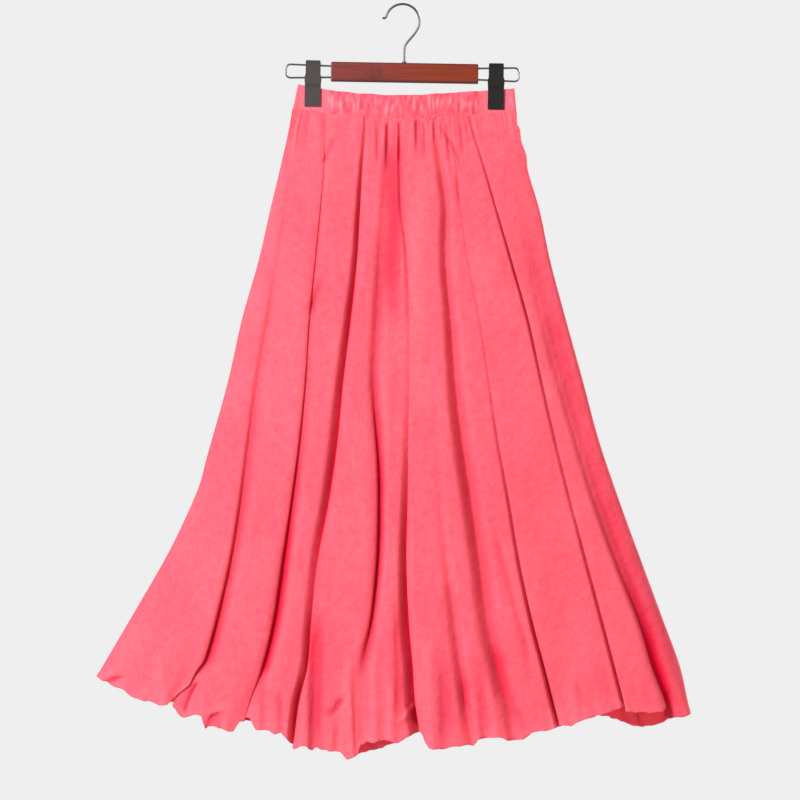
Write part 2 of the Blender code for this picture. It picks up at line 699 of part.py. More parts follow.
def make_collar(collection):
    """Turn the small collar that sits on the bar around the stem."""
    bore = HOOK_WIRE_RADIUS + FIT_GAP
    top = BAR_TOP + FIT_GAP + COLLAR_HEIGHT
    bottom = BAR_TOP + FIT_GAP
    profile = ((bore, top), (COLLAR_RADIUS - 0.0006, top), (COLLAR_RADIUS, top - 0.0006),
               (COLLAR_RADIUS, bottom), (bore, bottom))
    mesh = bpy.data.meshes.new("hook_collar")
    work = bmesh.new()
    corners = [work.verts.new((radius, 0.0, height)) for radius, height in profile]
    for index, corner in enumerate(corners):
        work.edges.new((corner, corners[(index + 1) % len(corners)]))
    work.to_mesh(mesh)
    work.free()
    collar = bpy.data.objects.new("hook_collar", mesh)
    collar.location = (HOOK_STEM_X, 0.0, 0.0)
    turn = collar.modifiers.new("turn", "SCREW")
    turn.axis = "Z"
    turn.angle = 2.0 * math.pi
    turn.steps = 24
    turn.render_steps = 24
    turn.use_merge_vertices = True
    turn.merge_threshold = 0.00001
    turn.use_normal_calculate = True
    return place_in(collection, collar, "collar_metal")


def make_loop(collection, name, side, reach):
    """Make one side's wire loop, on which a clip slides."""
    loop = tube_object(name, loop_points(side, reach), LOOP_WIRE_RADIUS)
    return place_in(collection, loop, "loop_metal")


def make_clip_plate(collection, name, centre_x, face):
    """Make the front or back plate of a clip: handle above, jaw below."""

    def point(column, row):
        station = CLIP_STATIONS[row]
        across = column / CLIP_COLUMNS * 2.0 - 1.0
        x = centre_x + across * station.half_width
        away = station.gap + CLIP_PLATE / 2
        return Vector((x, face * away, CLIP_TOP - station.share * CLIP_HEIGHT))

    plate = grid_surface(name, CLIP_COLUMNS + 1, len(CLIP_STATIONS), point)
    give_wall(plate, CLIP_PLATE)
    return place_in(collection, plate, "black_plastic")


def make_clip_core(collection, cutters, side, label):
    """Make the block inside a clip, with the bores that ride on the wire loop."""
    centre_x = BAR_CENTRE_X + side * CLIP_OFFSET
    size = (CLIP_CORE_WIDTH, CLIP_CORE_THICKNESS, CLIP_CORE_HEIGHT)
    core = box_object("clip_core_" + label, size, (centre_x, 0.0, BAR_MIDDLE), 0.0)
    place_in(collection, core, "black_core")
    made = [core]
    ends = (centre_x - CLIP_CORE_WIDTH, centre_x + CLIP_CORE_WIDTH)
    for corner, height in ((1, "upper"), (-1, "lower")):
        bore = []
        for x in ends:
            level = BAR_MIDDLE + corner * loop_half_height(side, x)
            bore.append((x, 0.0, level))
        made.append(drill(cutters, core, "clip_bore_%s_%s" % (label, height),
                          LOOP_WIRE_RADIUS + FIT_GAP, bore[0], bore[1]))
    return made


def make_hanger(collection, cutters):
    """Make every part of the hanger and hang them all, tilted, from the hook's seat."""
    parts = make_bar(collection, cutters)
    parts.append(make_hook(collection))
    parts.append(make_collar(collection))
    parts.append(make_loop(collection, "wire_loop_left", -1, LOOP_LEFT_REACH))
    parts.append(make_loop(collection, "wire_loop_right", 1, LOOP_RIGHT_REACH))
    for side, label in ((-1, "left"), (1, "right")):
        centre_x = BAR_CENTRE_X + side * CLIP_OFFSET
        parts.append(make_clip_plate(collection, "clip_front_" + label, centre_x, -1))
        parts.append(make_clip_plate(collection, "clip_back_" + label, centre_x, 1))
        parts += make_clip_core(collection, cutters, side, label)
    seat = bpy.data.objects.new("hook_seat", None)
    collection.objects.link(seat)
    seat.rotation_euler = (0.0, math.radians(HANGER_TILT_DEG), 0.0)
    for part in parts:
        part.parent = seat


def main():
    """Build the skirt and its hanger."""
    clear_scene()
    parts = new_collection("maxi_skirt_on_hanger")
    cutters = new_collection("cutters")
    make_panel(parts, "front_panel", FRONT_FOLDS, FRONT_LIFT, -1)
    make_panel(parts, "back_panel", BACK_FOLDS, BACK_LIFT, 1)
    make_band(parts, "waistband_front", -1)
    make_band(parts, "waistband_back", 1)
    make_hanger(parts, cutters)


main()
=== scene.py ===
import json
import math
from collections import namedtuple

import bmesh
import bpy
import numpy as np
from bpy.props import FloatProperty, FloatVectorProperty, PointerProperty
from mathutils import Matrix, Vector


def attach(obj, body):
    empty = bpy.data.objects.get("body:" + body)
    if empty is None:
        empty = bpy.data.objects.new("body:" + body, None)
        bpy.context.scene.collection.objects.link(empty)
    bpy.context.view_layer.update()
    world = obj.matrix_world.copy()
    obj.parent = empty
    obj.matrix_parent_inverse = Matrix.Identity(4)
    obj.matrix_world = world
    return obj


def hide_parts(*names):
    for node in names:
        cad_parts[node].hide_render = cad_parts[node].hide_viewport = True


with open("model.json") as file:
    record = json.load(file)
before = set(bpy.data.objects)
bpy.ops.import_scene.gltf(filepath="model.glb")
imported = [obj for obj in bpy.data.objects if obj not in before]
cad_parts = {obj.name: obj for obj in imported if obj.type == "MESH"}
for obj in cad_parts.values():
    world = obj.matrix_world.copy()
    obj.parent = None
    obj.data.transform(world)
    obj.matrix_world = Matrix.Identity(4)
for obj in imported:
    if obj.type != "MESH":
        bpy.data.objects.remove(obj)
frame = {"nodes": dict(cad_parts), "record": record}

bl_info = {
    "name": "Gathered maxi skirt on a clip hanger",
    "version": (1, 0, 0),
    "blender": (4, 5, 0),
    "location": "3D View > Sidebar > Skirt",
    "description": "Makes a maxi skirt's cloth panels, its elastic casing, its clip hanger and the stage",
    "category": "Add Mesh",
}

COLOURS = {row["slot"]: tuple(row["base_color"]) for row in frame["record"]["materials"]}

# --- Waist and side seams -----------------------------------------------------------------------
# Tables are in millimetres. Heights are z, 0 at the seat of the hook; drops are the same distances
# counted downwards.


def metres(value):
    """Turn millimetres into metres, alone or in rows."""
    return tuple(map(metres, value)) if isinstance(value, tuple) else round(value / 1000, 6)


WAIST_X = metres((-152, -89, -5, 79, 157))
WAIST_TOPS = metres((-109.5, -120.1, -125.7, -121.5, -115.9))
WAIST_SEAMS = metres((-146.7, -154.5, -160, -155.5, -149.5))
BAND_TOP_X = metres((-147.7, 155.3))
BAND_SEAM_X = metres((-155.2, 158))

# Distance of the casing's wall from the plane of the hanger, pressed flat under the clips.
DEPTH_X = metres((-155, -149, -145.5, -108, -92, -50, 0, 50, 95, 112.5, 147.5, 151, 158))
DEPTHS = metres((3.2, 2.6, 1.7, 1.7, 4.2, 8.2, 9.4, 8.2, 4.2, 1.7, 1.7, 2.6, 3.2))
CLIP_ZONES = metres(((-145.5, -108), (112.5, 147.5)))

# The side seams, and the drops at which the front folds are placed.
DROPS = metres((157.5, 181.7, 230.7, 286.7, 356.7, 440.7, 524.7, 608.7, 692.7, 776.7, 860.7, 923.7, 972.7,
                1024.5))
LEFT_DROPS = metres((146.7, 181.7, 230.7, 286.7, 356.7, 440.7, 524.7, 608.7, 644, 665, 692.7, 735, 776.7,
                     860.7, 923.7, 939))
LEFT_SIDE = metres((-155.4, -161.7, -172.9, -186.3, -202.3, -226.1, -244.9, -268.1, -278, -283.2, -293.7,
                    -313, -334.2, -382.9, -419.9, -429.1))
RIGHT_DROPS = metres((149.5, 168, 172.5, 181.7, 192.9, 209.7, 230.7, 286.7, 356.7, 440.7, 524.7, 608.7,
                      692.7, 776.7, 860.7, 923.7, 972.7, 989.9))
RIGHT_SIDE = metres((158.2, 159.2, 162.5, 163.6, 165.3, 171.5, 173.6, 190, 204.8, 227.2, 250.5, 273.1,
                     301.4, 332.1, 363, 386.1, 397.3, 401.1))

# Eight levels from the waist seam to the hem, for the folds' depths and the panels' fullness.
LEVEL_DROPS = metres((155, 285, 414, 544, 674, 804, 933, 1020))
FRONT_LIFT = metres((9, 17, 26, 34, 41, 48, 54, 58))
BACK_LIFT = metres((9, 16, 23, 29, 35, 41, 46, 49))

# --- Folds --------------------------------------------------------------------------------------
# x: where the fold's edge shows, at the panel's drops; depth: how far it runs in, at the levels;
# left and right: the flanks' widths at the waist, half way down and at the hem;
# over: -1 where the cloth on the left laps over the fold, 1 where the right does, 0 where neither;
# hem: height of the hem in the bottom of the fold; tuck: how far it runs in under at the hem;
# ease: share of the depth left at the hem; soft: depth below which it stays an open valley.
Fold = namedtuple("Fold", "name x depth left right over hem tuck ease soft")


def fold(name, x, depth, left, right, over, hem, tuck=0, ease=1.0, soft=0):
    """A fold, from sizes in millimetres."""
    return Fold(name, *metres((x, depth, left, right)), over, *metres((hem, tuck)), ease, metres(soft))


FRONT_FOLDS = (
    fold("f1", (-150.3, -156, -159.6, -164.5, -175.1, -188.2, -202.7, -213.6, -224.6, -239.8, -260.5,
          -277.8, -298.6, -309),
         (0.3, 1.8, 3.6, 5.5, 9, 12.5, 14.5, 12), (6, 5, 6), (8, 18, 35), -1, -980, tuck=20, ease=0.25,
         soft=12),
    fold("f2", (-108.4, -109.8, -111.8, -116.6, -123.5, -131.8, -137.2, -145.5, -156.5, -168.9, -181.4,
          -196.6, -214.6, -228.5),
         (0.4, 4.5, 6, 8, 13, 19, 20, 12), (4, 5, 14), (6, 18, 24), -1, -993.5, ease=0.4),
    fold("f3", (-53.5, -53.8, -57.7, -61, -65, -73.8, -84, -92.2, -104, -119.5, -128.5, -134, -145.8, -153),
         (3.6, 12.5, 15, 18, 19, 10, 19, 26), (5, 16, 12), (5, 9, 10), 1, -1032),
    fold("f4", (-20.3, -21.7, -23.8, -27.2, -31.4, -35.6, -39.7, -36.9, -35.5, -37.6, -45.9, -53.5, -57.7,
          -59.1),
         (1, 4, 7.4, 11, 17, 20, 9, 10), (5, 9, 10), (12, 18, 12), -1, -1033, ease=0.12, soft=13),
    fold("f5", (-3.5, -4.9, -4.9, -2.8, 5.5, 8.5, 8.5, 6.8, 5.5, 3.5, 6.6, 11.8, 15, 23.2),
         (1, 5, 3, 3, 10, 20, 28, 30), (4, 10, 18), (7, 6, 6), 1, -1015),
    fold("f5_low", (23, 26, 30, 34.4, 39, 42, 45, 48, 52, 60.3, 71.3, 79.7, 86.6, 95),
         (0.2, 0, 0, 0, 2, 7, 14, 16), (4, 10, 17), (3, 10, 12), 0, -1032.5),
    fold("f6", (44, 46.6, 52.7, 60, 59, 66.3, 72.2, 81.6, 95, 106.2, 117.4, 131.3, 145, 154),
         (3, 11, 15, 20, 24, 22, 16, 12), (10, 18, 24), (9, 19, 24), 0, -1025),
    fold("f7", (66.5, 68.2, 75.5, 81.1, 90.8, 107.4, 119.9, 132.3, 147.5, 161.3, 179.3, 195.7, 208, 221.2),
         (1, 1.4, 1.8, 3, 6.5, 11, 17, 22), (4, 6, 8), (3, 5, 6), 1, -1006.5),
    fold("f8", (94, 99.8, 114.6, 130.8, 151, 174.5, 193.2, 212.5, 233.2, 255.3, 277.4, 293.8, 306.2, 318.3),
         (1.6, 7, 10, 7, 6, 9, 12, 18), (4, 6, 7), (3, 5, 6), 1, -986),
    fold("f9", (139.1, 143.3, 151.6, 161.3, 176.5, 194.4, 216.6, 241.4, 267.7, 298.1, 329.9, 347.2, 364.5,
          377),
         (0, 0.4, 3, 5.2, 7.5, 11.5, 18, 22), (6, 6, 6), (16, 24, 26), -1, -996, soft=16),
)
BACK_FOLDS = (
    fold("b1", (-128, -146, -166, -188, -214, -247, -290, -322),
         (0.4, 4, 7, 10, 13, 17, 20, 18), (3, 14, 28), (3, 6, 8), 1, -984),
    fold("b2", (-84, -96, -112, -131, -152, -178, -206, -230),
         (0.4, 8, 12, 15, 18, 20, 21, 20), (4, 6, 8), (5, 18, 26), -1, -1004),
    fold("b3", (-46, -52, -62, -75, -88, -106, -122, -132),
         (0.5, 9, 13, 17, 20, 22, 22, 22), (5, 18, 26), (4, 7, 8), 1, -1038),
    fold("b4", (-14, -16, -21, -28, -33, -38, -40, -44),
         (0.5, 8, 11, 15, 18, 22, 24, 24), (5, 18, 22), (5, 16, 20), 0, -1046),
    fold("b5", (24, 30, 36, 40, 44, 50, 60, 68),
         (0.5, 9, 13, 15, 17, 20, 22, 24), (4, 7, 8), (5, 18, 28), -1, -1020),
    fold("b6", (60, 72, 86, 102, 118, 134, 152, 164),
         (0.4, 7, 10, 13, 16, 18, 22, 22), (5, 16, 22), (4, 7, 8), 1, -1008),
    fold("b7", (96, 114, 138, 162, 186, 212, 236, 254),
         (0.4, 6, 9, 12, 14, 17, 19, 20), (4, 6, 8), (4, 16, 24), -1, -994),
    fold("b8", (130, 152, 178, 208, 240, 276, 312, 334),
         (0.3, 3, 6, 9, 12, 16, 18, 18), (3, 14, 24), (3, 6, 8), 1, -1010.8, ease=0.3),
)

# --- Hems ---------------------------------------------------------------------------------------
# One run of (x, z) for each stretch of cloth between two folds, from left to right.
FRONT_HEMS = metres((
    ((-429, -938.9), (-416, -945.3), (-389, -957.2), (-376, -969.1), (-347, -972.5), (-338, -978.1),
     (-329, -976.7), (-316, -964), (-306, -954.4), (-294, -945)),
    ((-329.7, -979), (-324.1, -985.3), (-320.5, -995.1), (-309, -993.7), (-298, -992.3), (-288, -988),
     (-280, -993.7), (-276, -1009), (-271, -1005.7), (-262, -1005.7), (-248, -1012.8), (-237, -1013.8),
     (-232, -1008.5), (-228, -999.3)),
    ((-221, -993.3), (-214, -995.1), (-210, -1005.7), (-204, -1010.2), (-190, -1011.1), (-179, -1016.4),
     (-171, -1013.2), (-165, -1020.9), (-158, -1026.6), (-150, -1027.1)),
    ((-150, -1036.9), (-142, -1032.1), (-134, -1034.1), (-129, -1041.5), (-124, -1035.9), (-106, -1039.7),
     (-85, -1041.5), (-83, -1048), (-78, -1051.8), (-63, -1045.2)),
    ((-60, -1025.7), (-55, -1024.8), (-44, -1028.5), (-26, -1023.8), (-11, -1028.5), (1, -1024.8),
     (12, -1019.2), (19, -1014.5)),
    ((25, -1015.4), (29, -1023.8), (33, -1035.9), (40, -1037.8), (60, -1036.9), (83, -1033.1)),
    ((83, -1033.1), (94, -1028.5), (109, -1023), (133, -1021.6), (140, -1021.6), (145, -1025.7)),
    ((148, -1026.2), (166, -1025.2), (176, -1016.7), (195, -1012.7), (215, -1007.1)),
    ((218, -1006.5), (230, -1006.5), (248, -999.3), (264, -993.2), (280, -988.9), (295, -983),
     (310, -978.1)),
    ((315, -986.5), (330, -987.9), (360, -987.9), (367, -980.9)),
    ((366, -1000.4), (374, -997.1), (390, -994.8), (401, -989.9)),
))
BACK_HEMS = metres((
    ((-429, -938.9), (-402, -955), (-372, -960), (-345, -976), (-330, -978)),
    ((-318, -996), (-300, -994), (-288, -990), (-262, -1000), (-240, -998)),
    ((-225, -1004), (-200, -1003), (-176, -1012), (-150, -1020), (-139, -1026)),
    ((-124, -1036), (-105, -1036), (-90, -1048), (-82.4, -1057), (-64, -1051.5), (-55, -1049)),
    ((-44.3, -1046.8), (-21.7, -1040.2), (-6, -1034.6), (20, -1020), (40, -1016), (60, -1020)),
    ((76, -1016), (100, -1011), (130, -1014), (155, -1012)),
    ((172, -1006), (195, -998), (222, -1000), (246, -992)),
    ((262, -991), (274, -995), (290, -999), (311, -1005), (325, -1009.8)),
    ((337.5, -1011.2), (353, -1010.2), (368.5, -1003.6), (377, -1000), (401, -989.9)),
))

# --- Creases ------------------------------------------------------------------------------------
# path: (x, z) from top to bottom; rise: outwards if positive; left and right: reach on either side;
# start and end: shares of the length over which it fades in and out, except that an end of 0.1 or
# less runs on into the hem; last: painted shade, a deeper colour laid along the crease where shade falls.
Crease = namedtuple("Crease", "path rise left right start end tone")


def crease(path, rise, left, right, start, end, tone=0.0):
    """A crease, from sizes in millimetres."""
    return Crease(*metres((path, rise, left, right)), start, end, tone)


FRONT_CREASES = (
    crease(((-93.1, -180), (-103, -202), (-114.1, -226)), -3, 3, 6, 0.3, 0.2),
    crease(((-107.1, -366), (-120, -400), (-130.9, -436)), -3.4, 4, 7, 0.4, 0.2),
    crease(((-93.1, -157), (-92.5, -190)), -1.8, 2.2, 2.6, 0.1, 0.5),
    crease(((-35.7, -160), (-36.2, -240)), -2.4, 3, 3, 0.2, 0.5),
    crease(((59.5, -160), (67.9, -246)), -2.2, 3, 3.4, 0.2, 0.5),
    crease(((73.5, -228), (79.1, -292)), -2.2, 3, 3, 0.4, 0.4),
    crease(((80.5, -160), (83.5, -220)), -2.2, 2.8, 2.8, 0.2, 0.5),
    crease(((-14, -175), (-14, -262), (-13, -380), (-12, -470)), -3.6, 14, 14, 0.2, 0.4, 0.2),
    crease(((-22.5, -164), (-23.5, -236)), -3, 2.2, 2.2, 0.1, 0.5, 0.26),
    crease(((-6, -160), (-6.2, -232)), -3, 2.4, 2.4, 0.1, 0.4, 0.26),
    crease(((18.5, -158), (18, -222)), -2.8, 2.2, 2.2, 0.1, 0.6, 0.32),
    crease(((42, -160), (44, -205)), -1.4, 2.2, 2.2, 0.1, 0.5, 0.1),
    crease(((48.3, -168), (64, -190), (75.6, -212), (82, -240)), -2.4, 2.4, 3, 0.2, 0.5, 0.12),
    crease(((-80, -160), (-81.5, -235)), -1.6, 2.2, 3, 0.15, 0.6),
    crease(((-68, -160), (-69, -205)), 1.6, 2.4, 2.4, 0.15, 0.6),
    crease(((-45, -160), (-46, -215)), -1.9, 2.2, 2.6, 0.15, 0.5),
    crease(((-28.5, -160), (-29.2, -220)), 1.8, 2.2, 2.4, 0.15, 0.5),
    crease(((28.5, -160), (31, -225)), -2, 2.4, 2.8, 0.15, 0.5),
    crease(((38.5, -160), (40, -200)), 1.8, 2.2, 2.6, 0.15, 0.5),
    crease(((52, -160), (56, -212)), -1.8, 2, 2.6, 0.15, 0.5),
    crease(((87, -160), (92, -195)), -1.6, 2.2, 2.6, 0.15, 0.5),
    crease(((-12, -160), (-12.5, -215)), -2, 1.8, 2.2, 0.2, 0.4),
    crease(((6, -162), (5, -230)), -1.6, 2, 2, 0.2, 0.5),
    crease(((-2.1, -262), (0, -460)), 1.4, 3, 3.6, 0.3, 0.4),
    crease(((23.1, -240), (24, -560)), 3, 14, 14, 0.3, 0.4),
    crease(((162, -250), (185.5, -357), (205, -441), (227, -525), (252, -609), (278, -693),
            (309, -777), (341, -861), (358, -924), (374, -990)), -4, 8, 22, 0.25, 0.1, 0.02),
    crease(((123.9, -715), (142.1, -786.5), (156.1, -839.7), (170.1, -891.5), (179.9, -965)), -3.4,
            6, 3, 0.2, 0.3),
    crease(((153.3, -975), (163.1, -998), (174.3, -1025)), -3, 4, 6, 0.3, 0.1),
    crease(((128, -885), (134, -990)), -4, 12, 12, 0.4, 0.4),
    crease(((-118, -830), (-123, -940), (-124, -1040)), -7, 8, 11, 0.4, 0.1, 0.14),
    crease(((-137, -890), (-137.5, -1040)), 3.5, 5, 5, 0.4, 0.1),
    crease(((-76.3, -900), (-70, -1050)), 5, 8, 3, 0.4, 0.1),
    crease(((-81.9, -962), (-93, -981), (-105, -996)), -4.5, 6, 4, 0.3, 0.3, 0.12),
    crease(((-93, -1000), (-90, -1040)), -3.5, 4, 4, 0.4, 0.1),
    crease(((-40, -880), (-39, -1030)), 3, 6, 5, 0.4, 0.1),
    crease(((-15.7, -930), (-15, -1030)), 4, 5, 2.2, 0.4, 0.1),
    crease(((-8, -800), (-6, -1020)), -5, 7, 9, 0.4, 0.3, 0.06),
    crease(((-10, -1004), (4, -990), (16.5, -972)), 4, 6, 4, 0.3, 0.3),
    crease(((2.1, -972), (11, -986), (19, -1006)), -3, 4, 4, 0.3, 0.2, 0.05),
    crease(((52, -880), (56, -1040)), -3.6, 5, 15, 0.5, 0.1, 0.1),
    crease(((35, -860), (40, -1036)), 3, 8, 6, 0.4, 0.1),
    crease(((88.9, -915), (83, -1005)), -2.4, 5, 6, 0.5, 0.4),
    crease(((106, -900), (118, -1028)), -4, 9, 6, 0.4, 0.1),
    crease(((-387.1, -936), (-401, -940), (-416.5, -948)), -6, 7, 9, 0.3, 0.1, 0.32),
    crease(((-288, -944), (-298.5, -968), (-309.3, -994)), -4.4, 2.2, 1.6, 0.1, 0.1, 0.42),
    crease(((-250, -984), (-264, -990), (-272, -1006)), -6, 4, 8, 0.3, 0.1, 0.26),
    crease(((-255.5, -985), (-255, -1016)), -4, 6, 4, 0.4, 0.05, 0.1),
    crease(((-338, -900), (-330, -976)), 2.8, 10, 6, 0.4, 0.1),
    crease(((-196, -930), (-193, -1010)), -3, 6, 4, 0.4, 0.1),
    crease(((-172, -950), (-169, -1012)), -3.5, 4, 3, 0.4, 0.1, 0.1),
    crease(((242, -930), (250, -998)), -2.6, 6, 4, 0.4, 0.1),
    crease(((290, -966), (306, -978)), 3.5, 5, 4, 0.4, 0.1),
)
BACK_CREASES = (
    crease(((-110, -185), (-102, -240)), -2.8, 3, 6, 0.3, 0.3),
    crease(((-66, -160), (-68, -225)), -2.4, 3, 3, 0.2, 0.5),
    crease(((-30, -160), (-33, -250)), -2.4, 3, 3, 0.2, 0.5),
    crease(((6, -162), (8, -230)), -2.4, 3, 3, 0.2, 0.5),
    crease(((41, -160), (46, -220)), -2.4, 3, 3, 0.2, 0.5),
    crease(((76, -160), (86, -240)), -2.2, 3, 4, 0.2, 0.5),
    crease(((-131, -360), (-147, -440)), -3.2, 5, 7, 0.4, 0.3),
    crease(((4, -300), (7, -560)), 3, 12, 12, 0.3, 0.4),
    crease(((80, -640), (96, -820)), -3.4, 8, 6, 0.3, 0.3),
    crease(((-70, -800), (-83, -1045)), 2.6, 6, 4, 0.4, 0.1),
    crease(((10, -850), (14, -1030)), -4, 9, 9, 0.4, 0.1),
    crease(((-262, -940), (-282, -1000)), -3, 4, 6, 0.4, 0.1),
    crease(((205, -880), (216, -1005)), -3.4, 8, 5, 0.4, 0.1),
    crease(((293, -900), (308, -1000)), -3, 6, 6, 0.4, 0.1),
    crease(((-366, -900), (-388, -955)), -2.8, 5, 5, 0.4, 0.1),
)

# face: -1 looks forwards, 1 backwards; seed: of its random draws; press: share of the folds' depth
# that is left on the hanger.
Panel = namedtuple("Panel", "name node face drops folds hems lifts creases seed press")
FRONT = Panel("front_cloth", "front_panel", -1, DROPS, FRONT_FOLDS, FRONT_HEMS, FRONT_LIFT,
              FRONT_CREASES, 11, 0.76)
BACK = Panel("back_cloth", "back_panel", 1, LEVEL_DROPS, BACK_FOLDS, BACK_HEMS, BACK_LIFT,
             BACK_CREASES, 29, 1.0)


# --- Settings -----------------------------------------------------------------------------------
LENGTH = {"unit": "LENGTH", "subtype": "DISTANCE"}


class ClothSettings(bpy.types.PropertyGroup):
    """Sizes and colours of the skirt's cloth"""

    colour: FloatVectorProperty(
        name="Cloth colour", description="Dye of the skirt's cloth", subtype="COLOR", size=3,
        min=0.0, max=1.0, default=(0.96, 0.120, 0.168))
    thickness: FloatProperty(
        name="Cloth thickness", description="Thickness of one layer of the cloth",
        default=0.00062, min=0.0002, max=0.002, **LENGTH)
    hem_thickness: FloatProperty(
        name="Hem thickness", description="Thickness of the narrow turned hem",
        default=0.0015, min=0.0004, max=0.004, **LENGTH)
    hem_width: FloatProperty(
        name="Hem width", description="Width of the narrow turned hem",
        default=0.007, min=0.002, max=0.03, **LENGTH)
    casing_thickness: FloatProperty(
        name="Casing thickness", description="Thickness of the casing with the elastic in it",
        default=0.0024, min=0.001, max=0.006, **LENGTH)
    ruffle_height: FloatProperty(
        name="Ruffle height", description="Height of the casing's largest ruffles",
        default=0.0024, min=0.0, max=0.004, **LENGTH)
    gather_depth: FloatProperty(
        name="Gather depth", description="Depth of the small gathers below the waist seam",
        default=0.0021, min=0.0, max=0.004, **LENGTH)
    hem_ripple: FloatProperty(
        name="Hem ripple", description="Height of the ripples along the hem",
        default=0.0024, min=0.0, max=0.01, **LENGTH)
    crumple: FloatProperty(
        name="Crumple", description="Height of the soft unevenness of washed cloth",
        default=0.0012, min=0.0, max=0.004, **LENGTH)
    sway: FloatProperty(
        name="Sway", description="Height of the long soft waves between the pleats",
        default=0.0026, min=0.0, max=0.01, **LENGTH)


class HangerSettings(bpy.types.PropertyGroup):
    """Sizes and colours of the hanger"""

    wood_colour: FloatVectorProperty(
        name="Wood colour", description="Stain of the hanger's bar", subtype="COLOR", size=3,
        min=0.0, max=1.0, default=COLOURS["bar_wood"])
    clip_colour: FloatVectorProperty(
        name="Clip colour", description="Colour of the clips' plates", subtype="COLOR", size=3,
        min=0.0, max=1.0, default=COLOURS["clip_plastic"])


class StageSettings(bpy.types.PropertyGroup):
    """Camera distance and light of the stage"""

    backdrop: FloatProperty(
        name="Backdrop brightness", description="Brightness of the plain grey around the skirt",
        default=0.863, min=0.0, max=2.0)
    fill: FloatProperty(
        name="Fill light", description="Brightness of the light that comes from all around",
        default=0.61, min=0.0, max=2.0)
    key_power: FloatProperty(
        name="Key light", description="Power of the large soft light", default=262.0, min=0.0,
        max=2000.0, unit="POWER")
    side_power: FloatProperty(
        name="Side light", description="Power of the light that grazes the skirt's right side",
        default=24.0, min=0.0, max=2000.0, unit="POWER")
    back_power: FloatProperty(
        name="Back light", description="Power of the large soft light behind the skirt", default=150.0,
        min=0.0, max=2000.0, unit="POWER")
    camera_distance: FloatProperty(
        name="Camera distance", description="Distance of the camera from the hanger",
        default=7.0, min=1.0, max=20.0, **LENGTH)
    frame_width: FloatProperty(
        name="Frame width", description="Width that the camera sees at the hanger",
        default=1.12, min=0.2, max=4.0, **LENGTH)


# --- Curves and noise ---------------------------------------------------------------------------
NOISE_SIZE = 512
NOISE_ORIGIN = 4096.0
CLIP_REACH = 0.010


def mix(low, high, share):
    """Blend two values."""
    return low + (high - low) * share


def smooth_step(value):
    """Ease from 0 to 1."""
    value = np.clip(value, 0.0, 1.0)
    return value * value * (3.0 - 2.0 * value)


def curve_through(places, values, at):
    """Read a smooth curve through values set at rising places; it runs on straight past its ends."""
    places = np.asarray(places, float)
    values = np.asarray(values, float)
    at = np.asarray(at, float)
    slopes = np.empty_like(values)
    slopes[1:-1] = (values[2:] - values[:-2]) / (places[2:] - places[:-2])
    slopes[0] = (values[1] - values[0]) / (places[1] - places[0])
    slopes[-1] = (values[-1] - values[-2]) / (places[-1] - places[-2])
    low = np.clip(np.searchsorted(places, at) - 1, 0, len(places) - 2)
    span = places[low + 1] - places[low]
    t = (at - places[low]) / span
    s = np.clip(t, 0.0, 1.0)
    value = values[low] * (2 * s ** 3 - 3 * s ** 2 + 1) + values[low + 1] * (3 * s ** 2 - 2 * s ** 3)
    value += span * (slopes[low] * (s ** 3 - 2 * s ** 2 + s) + slopes[low + 1] * (s ** 3 - s ** 2))
    return value + (t - s) * span * np.where(t < s, slopes[low], slopes[low + 1])


def bezier(first, second, third, fourth, t):
    """Read a cubic curve through four control values."""
    s = 1.0 - t
    return first * s ** 3 + 3 * second * s * s * t + 3 * third * s * t * t + fourth * t ** 3


def soft_noise(u, v, cell_u, cell_v, seed):
    """Smooth uneven surface between -1 and 1, with cells of the given sizes."""
    values = np.random.default_rng(seed).uniform(-1.0, 1.0, (NOISE_SIZE, NOISE_SIZE))
    gu = np.asarray(u) / cell_u + NOISE_ORIGIN
    gv = np.asarray(v) / cell_v + NOISE_ORIGIN
    iu = np.floor(gu).astype(int)
    iv = np.floor(gv).astype(int)
    su = smooth_step(gu - iu)
    sv = smooth_step(gv - iv)
    left, right = iu % NOISE_SIZE, (iu + 1) % NOISE_SIZE
    low, high = iv % NOISE_SIZE, (iv + 1) % NOISE_SIZE
    bottom = mix(values[left, low], values[right, low], su)
    top = mix(values[left, high], values[right, high], su)
    return mix(bottom, top, sv)


def run_along(points, axis):
    """Distance over the cloth from its first column or row."""
    steps = np.linalg.norm(np.diff(points, axis=axis), axis=2)
    return np.insert(np.cumsum(steps, axis=axis), 0, 0.0, axis=axis)


def seam_height(x):
    """Height of the waist seam at x."""
    return curve_through(WAIST_X, WAIST_SEAMS, x)


def waist_depth(x):
    """Distance of the casing's wall from the plane of the hanger at x."""
    return np.interp(x, DEPTH_X, DEPTHS)


def clip_fade(x):
    """Fall to 0 where a clip presses the casing flat."""
    fade = np.ones_like(x)
    for low, high in CLIP_ZONES:
        outside = np.maximum(np.maximum(low - x, x - high), 0.0)
        fade = np.minimum(fade, smooth_step(outside / CLIP_REACH))
    return fade


# --- Cloth panels -------------------------------------------------------------------------------
# A flank is a curve from the bottom of its fold to the face of the cloth. These are its two middle
# control values, as shares of its width across and of the fold's depth inwards: on an open fold, on
# the side that laps over, and on the side that lies under the lap, with a slot left free there.
OPEN_ACROSS = (0.30, 0.60)
OPEN_INWARDS = 0.94
LAP_ACROSS = (-0.14, -0.04)
LAP_INWARDS = (0.50, 0.05)
UNDER_ACROSS = 0.42
UNDER_INWARDS = 0.98
SLOT_OF_DEPTH = 0.9
SLOT_OF_WIDTH = 0.38
WIDEST_SLOT = 0.0060
WIDTH_LEVELS = (0.0, 0.5, 1.0)
LAP_WIDER = 1.8
LEAN_SHARE = 0.28
FLANK_ROOM = 0.92
SMALLEST_WIDTH = 1e-9
SMALLEST_ROOM = 1e-6

